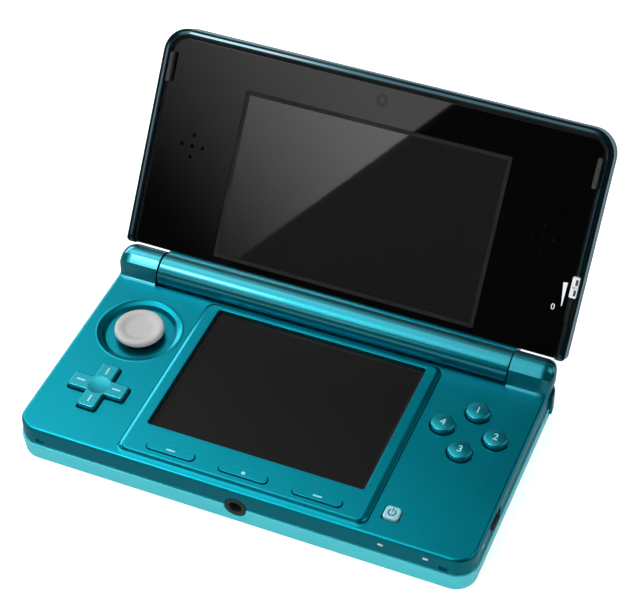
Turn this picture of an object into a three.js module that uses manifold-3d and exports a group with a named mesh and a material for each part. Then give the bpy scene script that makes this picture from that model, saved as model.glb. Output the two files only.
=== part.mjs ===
// Clamshell handheld game console, opened for play.
// Millimetres. +X to the player's right, +Y to the hinge at the back, +Z up.
// The origin lies on the underside, straight below the centre of the touch screen.

import * as THREE from "three";
import { mergeVertices } from "three/addons/utils/BufferGeometryUtils.js";
import Module from "manifold-3d";

const wasm = await Module();
wasm.setup();

// Clearances and the finish of round forms
const seatGap = 0.3; // between pieces that seat on each other
const runGap = 0.35; // round pieces that slide, turn or are pressed
const seamGap = 0.2; // the line between two casing halves
const overrun = 1; // how far a cutter passes the face it opens
const weldDistance = 1e-4;
const cornerSteps = 4;
const smallCornerSteps = 2;
const roundSteps = 28;
const smallRoundSteps = 12;
const edgeSteps = 3;

// Touch screen and its raised surround
const touchWidth = 63.8;
const touchDepth = 47.7;
const touchMargin = 1.1; // of the panel under the surround
const touchThickness = 1;
const lowerDisplayMargin = 1.2;
const lowerDisplayThickness = 2;
const surroundSide = 4.3; // window to the surround's outer edge
const surroundBack = 2.45;
const surroundApron = 10.75; // the front of the surround, with the system keys
const surroundCorner = 2.5;
const surroundHeight = 1.2;
const surroundStep = 0.9; // the lower ledge round the surround
const surroundStepHeight = 0.6;
const surroundWidth = touchWidth + 2 * surroundSide;
const surroundFront = touchDepth / 2 + surroundApron;
const surroundRear = touchDepth / 2 + surroundBack;

// Base casing
const controlBay = 30.8; // surround to the side of the base
const frontMargin = 2.6; // surround to the front of the base
const hingeStrip = 11.1; // surround to the rear of the base
const baseHeight = 12;
const baseCorner = 6.5;
const seamHeight = 6.1; // top of the bottom cover's rim
const coverLip = 0.5; // how far that rim stands out past the control face
const coverTaper = 0.5; // how far the cover draws in to its flat underside
const coverFoot = 0.5; // height of the rounded edge of the underside
const coverFloor = 1.1;
const coverWall = 1.4;
const faceWall = 1.5;
const sideWall = 1.5;
const faceBevelWidth = 1;
const faceBevelDrop = 0.9;
const baseHalf = surroundWidth / 2 + controlBay;
const baseFront = surroundFront + frontMargin; // touch screen centre to the front edge
const baseRear = surroundRear + hingeStrip;

// Hinge
const hingeInset = 4.5; // rear wall to the hinge axis
const hingeRise = 1.2; // control face to the hinge axis
const lidOpening = 124.7; // degrees from closed, as it stands
const barrelRadius = 5.15;
const knuckleSpan = 13; // side of the base to the barrel
const knuckleRadius = 5.45; // inside the sweep of the lid's near edge
const knuckleRound = 3;
const knuckleWaist = 0.7; // how far the knuckle's side draws in towards the face
const knuckleWaistRise = 3; // control face to where it has its full width
const knuckleCrestAngle = 113; // degrees, where the straight front meets the round top
const knuckleFront = [ // in front of the hinge axis, above the control face
  [6.7, 0],
  [6, 0.12],
  [5.6, 0.5],
  [4.15, 4.7],
];
const troughGap = 0.45; // barrel to the trough's front wall
const troughWall = 1.4;
const pinRadius = 2;
const pinInBarrel = 8;
const pinInKnuckle = 7.5;
const sleeveBore = 1.1;
const hingeBack = baseRear - hingeInset;
const hingeHeight = baseHeight + hingeRise;
const barrelHalf = baseHalf - knuckleSpan;
const troughFront = hingeBack - barrelRadius - troughGap;
const troughFloor = hingeHeight - barrelRadius - runGap;

// Lid
const closedHeight = 21;
const lidOverhang = 0.8; // past the base at the front and the sides
const closedGap = 1.1; // control face to the lid's rim when shut
const panelRecess = 1; // rim to the black panel
const rimWidth = 1.8;
const ledgeWidth = 1.5;
const frameDepth = 3.1;
const lidWall = 1.3;
const lidCorner = 7.5;
const lidNearCorner = 1.2;
const lidEdge = 2.4; // rounding of the lid's outer face
const nearEdgeShare = 0.45; // how much of that rounding the hinge side has
const lidNearGap = 0.45; // hinge barrel to the lid's near edge
const neckTop = 6.9; // hinge axis to the top of the neck
const neckCrest = 1.6; // hinge axis to the neck's crest, towards the front
const neckCrestHeight = 6.2;
const panelThickness = 1;
const rimLevel = baseHeight + closedGap - hingeHeight;
const panelLevel = rimLevel + panelRecess;
const panelBack = panelLevel + panelThickness;
const lidTop = closedHeight - hingeHeight;
const lidSeam = rimLevel + frameDepth;
const lidNear = -(barrelRadius + lidNearGap);
const lidHalf = baseHalf + lidOverhang;
const lidFar = -(hingeBack + baseFront + lidOverhang);

// Upper display and what surrounds it in the lid
const upperSide = 28.65; // side of the lid to the display
const upperNear = 8.95; // hinge axis to the display
const upperFree = 14.55; // free edge of the lid to the display
const upperSink = 0.15;
const upperModuleMargin = 1.4;
const upperModuleDepth = 2;
const speakerEdge = 14.4; // side of the lid to the middle of the speaker
const speakerRise = 5.1; // middle of the display to the speakers, away from the hinge
const speakerRadius = 6;
const speakerDepth = 2.4;
const speakerHole = 0.45;
const speakerPitch = 3.25;
const cameraEdge = 6.95; // free edge of the lid to the cameras
const innerLens = 1.9;
const outerLens = 2.9;
const outerLensSpread = 17.5;
const outerLensProud = 0.15;
const outerLensSink = 0.3;
const lensRingShare = 0.7; // of the lens ring's radius
const lensBoreShare = 0.5;
const cameraBoardEnd = 4.5; // outer camera to the end of the camera board
const cameraBoardDepth = 8;
const cameraBoardThickness = 1;
const bumperEdge = 3.3; // side of the lid to the bumper
const bumperFromFree = 12; // free edge of the lid to the bumper
const bumperLength = 8.7;
const bumperWidth = 1.3;
const bumperClear = 0.2; // bumper to the control face when shut
const upperWidth = 2 * (lidHalf - upperSide);
const upperHeight = -lidFar - upperNear - upperFree;
const upperReach = upperNear + upperHeight / 2;
const speakerSpread = lidHalf - speakerEdge;
const speakerReach = upperReach + speakerRise;
const cameraReach = -lidFar - cameraEdge;
const bumperSpread = lidHalf - bumperEdge;
const bumperReach = -lidFar - bumperFromFree;

// Depth slider in the lid's right rim
const sliderEdge = 2; // side of the lid to the slider
const sliderWidth = 2;
const sliderLength = 6;
const sliderReach = 26.75; // hinge axis to the slider
const sliderTravel = 7.2;
const sliderProud = 0.35; // past the rim
const sliderDepth = 2.4;
const sliderNotch = 0.7;
const sliderFlatShare = 0.8; // of the slider's length
const sliderPlace = lidHalf - sliderEdge;

// Circle pad
const padInset = 14; // surround to the middle of the pad
const padAlong = 8.6;
const wellRadius = 11.2;
const wellRim = 0.7; // the bevel round the well
const wellDepth = 1.8;
const wellFloor = 0.9;
const wellCup = 1.3;
const stemHole = 6.2;
const capRadius = 7.2;
const capHeight = 1.7; // above the control face
const capThickness = 1.9;
const capDish = 0.55;
const capDishRadius = 5.4;
const capEdge = 0.7;
const stemRadius = 2.1;
const skirtRadius = 10.2;
const skirtThickness = 0.5;
const padTravel = 2.6;
const padHousingSide = 1.15; // walls that the carriage slides between
const padHousingFloor = 5.3;
const padHousingWall = 0.8;
const carriageWidth = 12;
const carriageDepth = 22;
const carriageThickness = 1;
const padHousingSize = carriageDepth + 2 * (padHousingSide + runGap);
const padAcross = -(surroundWidth / 2 + padInset);

// D-pad
const dPadInset = 14.4; // surround to the middle of the d-pad
const dPadDrop = 24.8; // circle pad to the d-pad
const dPadSpan = 16.8;
const dPadArm = 5.3;
const dPadHeight = 1.4;
const dPadCorner = 0.7;
const dPadEdge = 0.45;
const dPadFlange = 0.9;
const dPadFlangeThickness = 0.5;
const dPadPlay = 0.85; // flange to the underside of the face
const dPadSide = 0.45; // gap round the arms
const dPadDish = 0.35;
const dPadDishRadius = 1.9;
const dPadPostRadius = 1.4;
const pivotRadius = 4;
const pivotThickness = 0.6;
const dPadAcross = -(surroundWidth / 2 + dPadInset);
const dPadAlong = padAlong - dPadDrop;

// Face buttons
const buttonsInset = 14.45; // surround to the middle of the four buttons
const buttonsAlong = 6.5;
const buttonSpacing = 7.6;
const buttonRadius = 3.4;
const buttonHeight = 1.6;
const buttonDome = 0.35;
const buttonEdge = 0.35;
const buttonFlange = 0.8;
const flangeThickness = 0.45;
const membraneMargin = 1.95; // past the outermost flange
const membraneThickness = 0.4;
const domeRadius = 1.6;
const domeHeight = 0.1;
const buttonsAcross = surroundWidth / 2 + buttonsInset;
const membraneRadius = buttonSpacing + buttonRadius + membraneMargin;

// System keys and the power button
const keyInset = 3.7; // surround's front edge to the keys
const keySpacing = 21.4;
const keyWidth = 14;
const keyDepth = 2.7;
const keyCorner = 1.2;
const keyHeight = 0.35; // above the surround
const keyFlange = 0.7;
const keyEdge = 0.2;
const powerInset = 5.2; // surround to the middle of the power button
const powerFromFront = 9.2;
const powerSize = 4.3;
const powerCorner = 1.1;
const powerHeight = 0.7;
const powerEdge = 0.3;
const keyAlong = keyInset - surroundFront;
const powerAcross = surroundWidth / 2 + powerInset;
const powerAlong = powerFromFront - baseFront;

// Shoulder buttons at the rear corners
const shoulderLength = 24.4; // along the rear wall
const shoulderWrap = 7.6; // along the side wall
const shoulderProud = 0.4;
const shoulderThickness = 2.8;
const shoulderLow = 2.6;
const shoulderLedge = 0.95; // casing left between the button and the hinge trough
const shoulderStepOut = 1.4; // end of the barrel to where the button gets taller
const shoulderDrop = 2.5; // control face to the button's top
const shoulderPress = 1.5; // room in front for the press
const shoulderPinInset = 2.4; // inner end to the pin
const shoulderPinFromRear = 4;
const shoulderPinRadius = 0.9;
const shoulderLug = 1.2; // wall round the pin
const shoulderInner = baseHalf - shoulderLength;
const shoulderFront = baseRear - shoulderWrap;
const shoulderMiddle = troughFloor - shoulderLedge - runGap;
const shoulderStep = barrelHalf + shoulderStepOut;
const shoulderHigh = baseHeight - shoulderDrop;
const shoulderPinAcross = shoulderInner + shoulderPinInset;
const shoulderPinAlong = baseRear - shoulderPinFromRear;

// Inside the base
const boardRise = 1; // seam to the board
const boardThickness = 0.8;
const boardInset = 3;
const housingFloor = 1;
const housingWall = 1;
const batteryFromSlot = 3.1; // game card slot to the battery
const batteryFromSide = 8.8;
const batteryFromFront = 5.7;
const batteryDepth = 50;
const batteryCorner = 1.5;
const bayWall = 0.8;
const screwFromSide = 5.2;
const screwFromFront = 6.2;
const screwFromShoulder = 3.2;
const screwFromRear = 6.4;
const screwHead = 1.7;
const screwHeadThickness = 0.5;
const screwSink = 0.1;
const screwShank = 0.9;
const screwLength = 4.6;
const screwDrive = 0.35;
const screwDriveLength = 2;
const bossWall = 0.9;
const shellFoot = seamHeight + seamGap;
const faceUnder = baseHeight - faceWall;
const cavityInset = coverLip + sideWall;
const cavityRear = troughFront - troughWall;
const boardHeight = seamHeight + boardRise;
const boardTop = boardHeight + boardThickness;
const flangeTop = faceUnder - seatGap;
const housingLow = coverFloor + seatGap;
const housingHigh = boardHeight - seatGap;
const housingInset = cavityInset + seatGap;
const touchTop = baseHeight - seatGap;

// Side controls
const sideKnobAlong = -18;
const sideKnobLength = 5;
const sideKnobThickness = 1.9;
const sideKnobProud = 0.7;
const sideFlange = 1.2;
const sideFlangeThickness = 1.2;
const volumeTravel = 3.2;
const wirelessTravel = 2.2;
const sideRib = 0.25;
const sideRibs = 4;
const sideKnobHeight = (boardTop + flangeTop) / 2;

// Card slots
const gameSlotWidth = 34.2;
const gameSlotHeight = 4.3;
const gameSlotLength = 31;
const gameSlotLift = 0.4; // cover's floor to the slot
const cageWall = 0.25;
const sdAlong = 12.5;
const sdWidth = 24.6;
const sdHeight = 2.4;
const sdLength = 27;
const sdLift = 1.5; // cover's floor to the slot
const sdWall = 0.25;
const sdDoorEnd = 1.2; // slot to the end of its door
const sdDoorMargin = 0.7; // slot to the lower edge of its door
const sdDoorThickness = 1.1;
const gameSlotFloor = coverFloor + gameSlotLift;
const sdFloor = coverFloor + sdLift;
const sdDoorLow = sdFloor - sdDoorMargin;
const sdDoorLength = sdWidth + 2 * sdDoorEnd;
const batteryLow = gameSlotWidth / 2 + batteryFromSlot;
const batteryHigh = baseHalf - batteryFromSide;

// Ports and the stylus in the rear wall
const portGap = 1.1; // shoulder button to the port wall
const portWall = 1.6;
const portInset = 0.4;
const chargeWidth = 8.4;
const chargeHeight = 3.2;
const chargeLength = 9;
const chargeWall = 0.45;
const chargeTongue = 0.9;
const infraredFromEnd = 5.4; // end of the port wall to the window's middle
const infraredWidth = 4.6;
const infraredHeight = 2.8;
const infraredDepth = 2.4;
const stylusFromSlot = 10.9;
const stylusRadius = 2;
const stylusLength = 50;
const stylusGrip = 5;
const stylusGripRadius = 1.5;
const stylusTipRadius = 1.1;
const stylusTipLength = 42;
const stylusTipShow = 5;
const stylusPoint = 1.6;
const tunnelWall = 0.8;
const portHalf = shoulderInner - portGap;
const portLevel = (housingLow + seamHeight) / 2;
const infraredAcross = portHalf - infraredFromEnd;
const chargeAcross = (gameSlotWidth / 2 + infraredAcross) / 2;
const stylusAcross = -(gameSlotWidth / 2 + stylusFromSlot);
const stylusHeight = portLevel;

// Headphone jack in the front wall
const jackDrop = 0.15; // seam to the jack's middle
const jackRadius = 3.05;
const jackLength = 11;
const jackBore = 1.8;
const jackRing = 0.5;
const jackHeight = seamHeight - jackDrop;

// Notches and lights in the front and side walls
const notchFromSide = 8.1;
const notchWidth = 2.4;
const notchHeight = 1.4;
const notchLift = 0.8; // seam to the notch
const notchDepth = 0.6;
const lightDrop = 2.8; // control face to the lights
const powerLightFromSide = 25.6;
const chargeLightFromSide = 13.1;
const wirelessLightFromKnob = 9;
const lightWidth = 1.5;
const lightThickness = 0.8;
const lightLength = 2.6;
const notchAcross = baseHalf - notchFromSide;
const notchLow = seamHeight + notchLift;
const lightHeight = baseHeight - lightDrop;
const powerLightAcross = baseHalf - powerLightFromSide;
const chargeLightAcross = baseHalf - chargeLightFromSide;
const wirelessLightAlong = sideKnobAlong - wirelessLightFromKnob;

// Looks
const looks = {
  tealFace: new THREE.MeshStandardMaterial({ color: 0x0a93a6, roughness: 0.28, metalness: 0.55 }),
  tealCover: new THREE.MeshStandardMaterial({ color: 0x3bbcc4, roughness: 0.32, metalness: 0.45 }),
  tealKey: new THREE.MeshStandardMaterial({ color: 0x2aa3b2, roughness: 0.3, metalness: 0.45 }),
  blackPanel: new THREE.MeshStandardMaterial({ color: 0x07080a, roughness: 0.08, metalness: 0 }),
  display: new THREE.MeshStandardMaterial({ color: 0x26282b, roughness: 0.12, metalness: 0 }),
  darkPlastic: new THREE.MeshStandardMaterial({ color: 0x1b1d20, roughness: 0.6, metalness: 0 }),
  padGrey: new THREE.MeshStandardMaterial({ color: 0xc9c5c0, roughness: 0.6, metalness: 0 }),
  silver: new THREE.MeshStandardMaterial({ color: 0xc8ccd0, roughness: 0.35, metalness: 0.6 }),
  steel: new THREE.MeshStandardMaterial({ color: 0x9da1a6, roughness: 0.35, metalness: 1 }),
  rubber: new THREE.MeshStandardMaterial({ color: 0x17181a, roughness: 0.85, metalness: 0 }),
  greyRubber: new THREE.MeshStandardMaterial({ color: 0x9a9da0, roughness: 0.85, metalness: 0 }),
  board: new THREE.MeshStandardMaterial({ color: 0x1f5a3c, roughness: 0.55, metalness: 0.1 }),
  battery: new THREE.MeshStandardMaterial({ color: 0x3a3c40, roughness: 0.5, metalness: 0.1 }),
  lens: new THREE.MeshStandardMaterial({ color: 0x101418, roughness: 0.05, metalness: 0 }),
  light: new THREE.MeshStandardMaterial({ color: 0xdfe8ee, roughness: 0.2, metalness: 0 }),
};

// Geometry helpers

// A closed mesh as a solid, with its vertices welded and its faces turned outwards.
function solidOf(geometry) {
  const bare = geometry.clone();
  bare.deleteAttribute("normal");
  bare.deleteAttribute("uv");
  const welded = mergeVertices(bare, weldDistance);
  const points = welded.attributes.position.array;
  const corners = welded.index.array;
  const triangles = [];
  let volume = 0;
  const a = new THREE.Vector3();
  const b = new THREE.Vector3();
  const c = new THREE.Vector3();
  for (let i = 0; i < corners.length; i += 3) {
    const [p, q, r] = [corners[i], corners[i + 1], corners[i + 2]];
    if (p === q || q === r || r === p) continue;
    triangles.push(p, q, r);
    a.fromArray(points, p * 3);
    b.fromArray(points, q * 3);
    c.fromArray(points, r * 3);
    volume += a.dot(b.cross(c));
  }
  if (volume < 0) triangles.reverse();
  const mesh = new wasm.Mesh({
    numProp: 3,
    vertProperties: Float32Array.from(points),
    triVerts: Uint32Array.from(triangles),
  });
  return new wasm.Manifold(mesh);
}

// A solid back as a three.js geometry.
function geometryOf(solid) {
  const mesh = solid.getMesh();
  const geometry = new THREE.BufferGeometry();
  geometry.setAttribute("position", new THREE.BufferAttribute(mesh.vertProperties, 3));
  geometry.setIndex(new THREE.BufferAttribute(mesh.triVerts, 1));
  return geometry;
}

function joined(...parts) {
  return geometryOf(parts.map(solidOf).reduce((sum, part) => sum.add(part)));
}

function cut(body, ...tools) {
  return geometryOf(tools.map(solidOf).reduce((rest, tool) => rest.subtract(tool), solidOf(body)));
}

function shared(first, second) {
  return geometryOf(solidOf(first).intersect(solidOf(second)));
}

// The piece as made for the right side, or its mirror image for the left.
function sided(geometry, side) {
  return side > 0 ? geometry : geometryOf(solidOf(geometry.scale(-1, 1, 1)));
}

// A block between two limits on each axis.
function block(x0, x1, y0, y1, z0, z1) {
  const geometry = new THREE.BoxGeometry(x1 - x0, y1 - y0, z1 - z0);
  return geometry.translate((x0 + x1) / 2, (y0 + y1) / 2, (z0 + z1) / 2);
}

// A rectangle between limits, with one corner radius at low y and one at high y.
function cornered(x0, x1, y0, y1, lowRadius, highRadius = lowRadius) {
  const shape = new THREE.Shape();
  shape.moveTo(x0 + lowRadius, y0);
  shape.lineTo(x1 - lowRadius, y0);
  shape.absarc(x1 - lowRadius, y0 + lowRadius, lowRadius, -Math.PI / 2, 0);
  shape.lineTo(x1, y1 - highRadius);
  shape.absarc(x1 - highRadius, y1 - highRadius, highRadius, 0, Math.PI / 2);
  shape.lineTo(x0 + highRadius, y1);
  shape.absarc(x0 + highRadius, y1 - highRadius, highRadius, Math.PI / 2, Math.PI);
  shape.lineTo(x0, y0 + lowRadius);
  shape.absarc(x0 + lowRadius, y0 + lowRadius, lowRadius, Math.PI, 1.5 * Math.PI);
  return shape;
}

// The same, from a middle point and two sizes.
function centred(x, y, width, depth, radius) {
  return cornered(x - width / 2, x + width / 2, y - depth / 2, y + depth / 2, radius);
}

// A prism of an outline between two heights.
function prism(shape, low, high, steps = smallCornerSteps) {
  const options = { depth: high - low, bevelEnabled: false, curveSegments: steps };
  return new THREE.ExtrudeGeometry(shape, options).translate(0, 0, low);
}

// The same with softened edges at both ends.
function softPrism(shape, low, high, edge, steps = smallCornerSteps) {
  const options = {
    depth: high - low - 2 * edge,
    bevelThickness: edge,
    bevelSize: edge,
    bevelOffset: -edge,
    bevelSegments: 1,
    curveSegments: steps,
  };
  return new THREE.ExtrudeGeometry(shape, options).translate(0, 0, low + edge);
}

// An outline's points, without the doubles where its lines and arcs meet.
function pointsOf(shape) {
  const points = shape.getPoints(cornerSteps);
  return points.filter((point, k) =>
    point.distanceTo(points[(k + 1) % points.length]) > weldDistance);
}

// A solid through convex outlines of equal point counts, each at its own height.
function loft(sections) {
  const rings = sections.map(({ shape, z }) => pointsOf(shape).map(({ x, y }) => [x, y, z]));
  const count = rings[0].length;
  const index = [];
  for (let k = 0; k + 1 < rings.length; k += 1) {
    for (let i = 0; i < count; i += 1) {
      const next = (i + 1) % count;
      const low = k * count;
      const high = low + count;
      index.push(low + i, low + next, high + next, low + i, high + next, high + i);
    }
  }
  const top = (rings.length - 1) * count;
  for (let i = 1; i + 1 < count; i += 1) {
    index.push(0, i + 1, i, top, top + i, top + i + 1);
  }
  const geometry = new THREE.BufferGeometry();
  geometry.setAttribute("position", new THREE.Float32BufferAttribute(rings.flat(2), 3));
  geometry.setIndex(index);
  return geometry;
}

// Insets and heights of a quarter round that ends a casing's outer face.
function quarterRound(width, drop, top) {
  const steps = [];
  for (let k = 0; k <= edgeSteps; k += 1) {
    const angle = (k / edgeSteps) * (Math.PI / 2);
    steps.push({ inset: width * (1 - Math.cos(angle)), z: top - drop * (1 - Math.sin(angle)) });
  }
  return steps;
}

// A profile of [radius, height] pairs, turned about the upright through (x, y).
function turned(profile, x, y, steps = roundSteps) {
  const points = profile.map(([radius, height]) => new THREE.Vector2(radius, height));
  const geometry = new THREE.LatheGeometry(points, steps);
  return geometry.rotateX(Math.PI / 2).translate(x, y, 0);
}

// A plain upright cylinder.
function post(radius, low, high, x, y, steps = roundSteps) {
  return turned([[0, low], [radius, low], [radius, high], [0, high]], x, y, steps);
}

// A profile of [radius, distance] pairs, turned about a line along X.
function turnedAlongX(profile, y, z, steps = roundSteps) {
  const points = profile.map(([radius, distance]) => new THREE.Vector2(radius, distance));
  return new THREE.LatheGeometry(points, steps).rotateZ(-Math.PI / 2).translate(0, y, z);
}

// A profile of [radius, distance] pairs, turned about a line along Y.
function turnedAlongY(profile, x, z, steps = roundSteps) {
  const points = profile.map(([radius, distance]) => new THREE.Vector2(radius, distance));
  return new THREE.LatheGeometry(points, steps).translate(x, 0, z);
}

function rodAlongX(radius, start, end, y, z, steps = roundSteps) {
  return turnedAlongX([[0, start], [radius, start], [radius, end], [0, end]], y, z, steps);
}

function rodAlongY(radius, start, end, x, z, steps = roundSteps) {
  return turnedAlongY([[0, start], [radius, start], [radius, end], [0, end]], x, z, steps);
}

// The base's outline in plan, drawn in by an inset.
function baseOutline(inset) {
  const half = baseHalf - inset;
  return cornered(-half, half, inset - baseFront, baseRear - inset, baseCorner - inset);
}

// The lid's outline in its own closed frame, with the hinge axis as the origin.
function lidOutline(inset, nearInset = inset) {
  const half = lidHalf - inset;
  const near = lidNear - nearInset;
  return cornered(-half, half, lidFar + inset, near, lidCorner - inset, lidNearCorner);
}

// A cap with a retaining flange below the control face, as an extruded key.
function flangedKey(outline, flangeOutline, top, edge) {
  const cap = softPrism(outline, flangeTop - flangeThickness, top, edge);
  return joined(cap, prism(flangeOutline, flangeTop - flangeThickness, flangeTop, 1));
}

// Scene

const handheld = new THREE.Group();
const lid = new THREE.Group();
lid.position.set(0, hingeBack, hingeHeight);
lid.rotation.x = -THREE.MathUtils.degToRad(lidOpening);
handheld.add(lid);

function piece(name, geometry, look, parent = handheld) {
  const flat = geometry.index ? geometry.toNonIndexed() : geometry;
  flat.computeVertexNormals();
  const mesh = new THREE.Mesh(flat, look);
  mesh.name = name;
  parent.add(mesh);
  return mesh;
}

// Base casing

// One end of the hinge on the base: a front that leans back to a round top, with its outer
// end drawn in to the face, rounded from above and rounded in plan like the base's corner.
function knuckle(side) {
  const inner = barrelHalf + seatGap;
  const low = shellFoot + seatGap;
  const crown = hingeHeight + knuckleRadius;
  const back = hingeBack + knuckleRadius;
  const crest = THREE.MathUtils.degToRad(knuckleCrestAngle);
  const profile = new THREE.Shape();
  profile.moveTo(hingeBack, low);
  profile.lineTo(hingeBack - knuckleFront[0][0], low);
  for (const [ahead, rise] of knuckleFront) profile.lineTo(hingeBack - ahead, baseHeight + rise);
  profile.absarc(hingeBack, hingeHeight, knuckleRadius, crest, -Math.PI / 4, true);
  const bar = new THREE.ExtrudeGeometry(profile,
    { depth: baseHalf - inner, bevelEnabled: false, curveSegments: 3 * cornerSteps });
  bar.rotateX(Math.PI / 2).rotateZ(Math.PI / 2).translate(inner, 0, 0);
  const outer = new THREE.Shape();
  outer.moveTo(inner - overrun, low - overrun);
  outer.lineTo(baseHalf - knuckleWaist, low - overrun);
  outer.lineTo(baseHalf - knuckleWaist, baseHeight);
  outer.lineTo(baseHalf, baseHeight + knuckleWaistRise);
  outer.absarc(baseHalf - knuckleRound, crown - knuckleRound, knuckleRound, 0, Math.PI / 2);
  outer.lineTo(inner - overrun, crown);
  const end = new THREE.ExtrudeGeometry(outer,
    { depth: 2 * knuckleRadius + 2 * overrun + knuckleFront[0][0], bevelEnabled: false,
      curveSegments: cornerSteps });
  end.rotateX(Math.PI / 2).translate(0, back + overrun, 0);
  const plan = prism(cornered(-baseHalf, baseHalf, 0, back, baseCorner), low - overrun,
    crown + overrun, cornerSteps);
  return sided(shared(shared(bar, end), plan), side);
}

function knuckleBore(side) {
  const inner = barrelHalf + seatGap;
  const bore = rodAlongX(pinRadius + seatGap, inner - overrun, inner + pinInKnuckle + seatGap,
    hingeBack, hingeHeight, smallRoundSteps);
  return sided(bore, side);
}

// The room that a shoulder button needs at a rear corner.
function shoulderRoom(side) {
  const outer = baseHalf + overrun;
  const rear = baseRear + overrun;
  const front = shoulderFront - shoulderPress;
  const low = shoulderLow - runGap;
  const tall = block(shoulderStep - runGap, outer, front, rear, low, shoulderHigh + runGap);
  const flat = block(shoulderInner - runGap, outer, front, rear, low, shoulderMiddle + runGap);
  return sided(joined(tall, flat), side);
}

function crossOutline(span, arm, radius) {
  const shape = new THREE.Shape();
  const a = arm / 2;
  const s = span / 2;
  const turn = Math.PI / 2;
  for (let k = 0; k < 4; k += 1) {
    const rotate = (x, y) => {
      const angle = k * turn;
      return [
        dPadAcross + x * Math.cos(angle) - y * Math.sin(angle),
        dPadAlong + x * Math.sin(angle) + y * Math.cos(angle),
      ];
    };
    const start = rotate(s, -a + radius);
    if (k === 0) shape.moveTo(...start);
    else shape.lineTo(...start);
    shape.lineTo(...rotate(s, a - radius));
    shape.absarc(...rotate(s - radius, a - radius), radius, k * turn, (k + 1) * turn);
    shape.lineTo(...rotate(a, a));
    const next = (x, y) => rotate(-y, x);
    shape.lineTo(...next(s - radius, -a));
    shape.absarc(...next(s - radius, -a + radius), radius, k * turn, (k + 1) * turn);
  }
  return shape;
}

const buttonPlaces = [
  [buttonsAcross, buttonsAlong + buttonSpacing],
  [buttonsAcross + buttonSpacing, buttonsAlong],
  [buttonsAcross, buttonsAlong - buttonSpacing],
  [buttonsAcross - buttonSpacing, buttonsAlong],
];
const keyPlaces = { select_key: -keySpacing, home_key: 0, start_key: keySpacing };

// The slot in a side wall that a sliding knob needs over its travel.
function sideSlot(side, back, forth) {
  const wall = side * baseHalf;
  const inside = side * (baseHalf - cavityInset - overrun);
  const half = sideKnobLength / 2 + runGap;
  return block(Math.min(wall, inside), Math.max(wall, inside),
    sideKnobAlong - half - back, sideKnobAlong + half + forth,
    sideKnobHeight - sideKnobThickness / 2 - runGap, sideKnobHeight + sideKnobThickness / 2 + runGap);
}

function controlFace() {
  const skin = [{ shape: baseOutline(coverLip), z: shellFoot }];
  for (const { inset, z } of quarterRound(faceBevelWidth, faceBevelDrop, baseHeight)) {
    skin.push({ shape: baseOutline(coverLip + inset), z });
  }
  const half = baseHalf - cavityInset;
  const cavity = prism(cornered(-half, half, -baseFront + cavityInset, cavityRear,
    baseCorner - cavityInset, wellRim), shellFoot - overrun, faceUnder);
  const trough = block(-barrelHalf - seatGap, barrelHalf + seatGap, troughFront,
    baseRear + overrun, troughFloor, baseHeight + overrun);
  const cup = post(wellRadius + wellCup, baseHeight - wellDepth - wellFloor, faceUnder + overrun,
    padAcross, padAlong);
  const well = turned([
    [0, baseHeight - wellDepth],
    [wellRadius, baseHeight - wellDepth],
    [wellRadius, baseHeight - wellRim],
    [wellRadius + wellRim, baseHeight],
    [wellRadius + wellRim, baseHeight + overrun],
    [0, baseHeight + overrun],
  ], padAcross, padAlong);
  const stem = post(stemHole, baseHeight - wellDepth - wellFloor - overrun, baseHeight,
    padAcross, padAlong);
  const holes = buttonPlaces.map(([x, y]) =>
    post(buttonRadius + runGap, faceUnder - overrun, baseHeight + overrun, x, y));
  for (const x of Object.values(keyPlaces)) {
    holes.push(prism(centred(x, keyAlong, keyWidth + 2 * runGap, keyDepth + 2 * runGap,
      keyCorner), faceUnder - overrun, baseHeight + overrun));
  }
  const powerHole = prism(centred(powerAcross, powerAlong, powerSize + 2 * runGap,
    powerSize + 2 * runGap, powerCorner), faceUnder - overrun, baseHeight + overrun);
  const crossHole = prism(crossOutline(dPadSpan + 2 * dPadSide, dPadArm + 2 * dPadSide, dPadCorner),
    faceUnder - overrun, baseHeight + overrun);
  const window = prism(centred(0, 0, touchWidth + 2 * (touchMargin + seatGap),
    touchDepth + 2 * (touchMargin + seatGap), dPadCorner), faceUnder - overrun, baseHeight + overrun);
  const lights = [powerLightAcross, chargeLightAcross].map((x) =>
    block(x - lightWidth / 2 - seamGap, x + lightWidth / 2 + seamGap, -baseFront - overrun,
      -baseFront + cavityInset + overrun, lightHeight - lightThickness / 2 - seamGap,
      lightHeight + lightThickness / 2 + seamGap));
  const wallX = baseHalf - coverLip;
  const sideLight = block(wallX - sideWall - overrun, wallX + overrun,
    wirelessLightAlong - lightWidth / 2 - seamGap, wirelessLightAlong + lightWidth / 2 + seamGap,
    lightHeight - lightThickness / 2 - seamGap, lightHeight + lightThickness / 2 + seamGap);
  const jack = rodAlongY(jackRadius + seamGap, -baseFront - overrun, -baseFront + cavityInset + overrun,
    0, jackHeight);
  const notches = [-1, 1].map((side) =>
    block(side * notchAcross - notchWidth / 2, side * notchAcross + notchWidth / 2,
      -baseFront - overrun, -baseFront + coverLip + notchDepth, notchLow, notchLow + notchHeight));
  return cut(joined(cut(loft(skin), cavity, trough), cup, knuckle(1), knuckle(-1)),
    well, stem, ...holes, powerHole, crossHole, window, ...lights, ...notches, sideLight, jack,
    sideSlot(-1, volumeTravel, volumeTravel), sideSlot(1, 0, wirelessTravel),
    knuckleBore(1), knuckleBore(-1), shoulderRoom(1), shoulderRoom(-1));
}

const screwPlaces = [-1, 1].flatMap((side) => [
  [side * (baseHalf - screwFromSide), screwFromFront - baseFront],
  [side * (shoulderInner - screwFromShoulder), baseRear - screwFromRear],
]);

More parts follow.
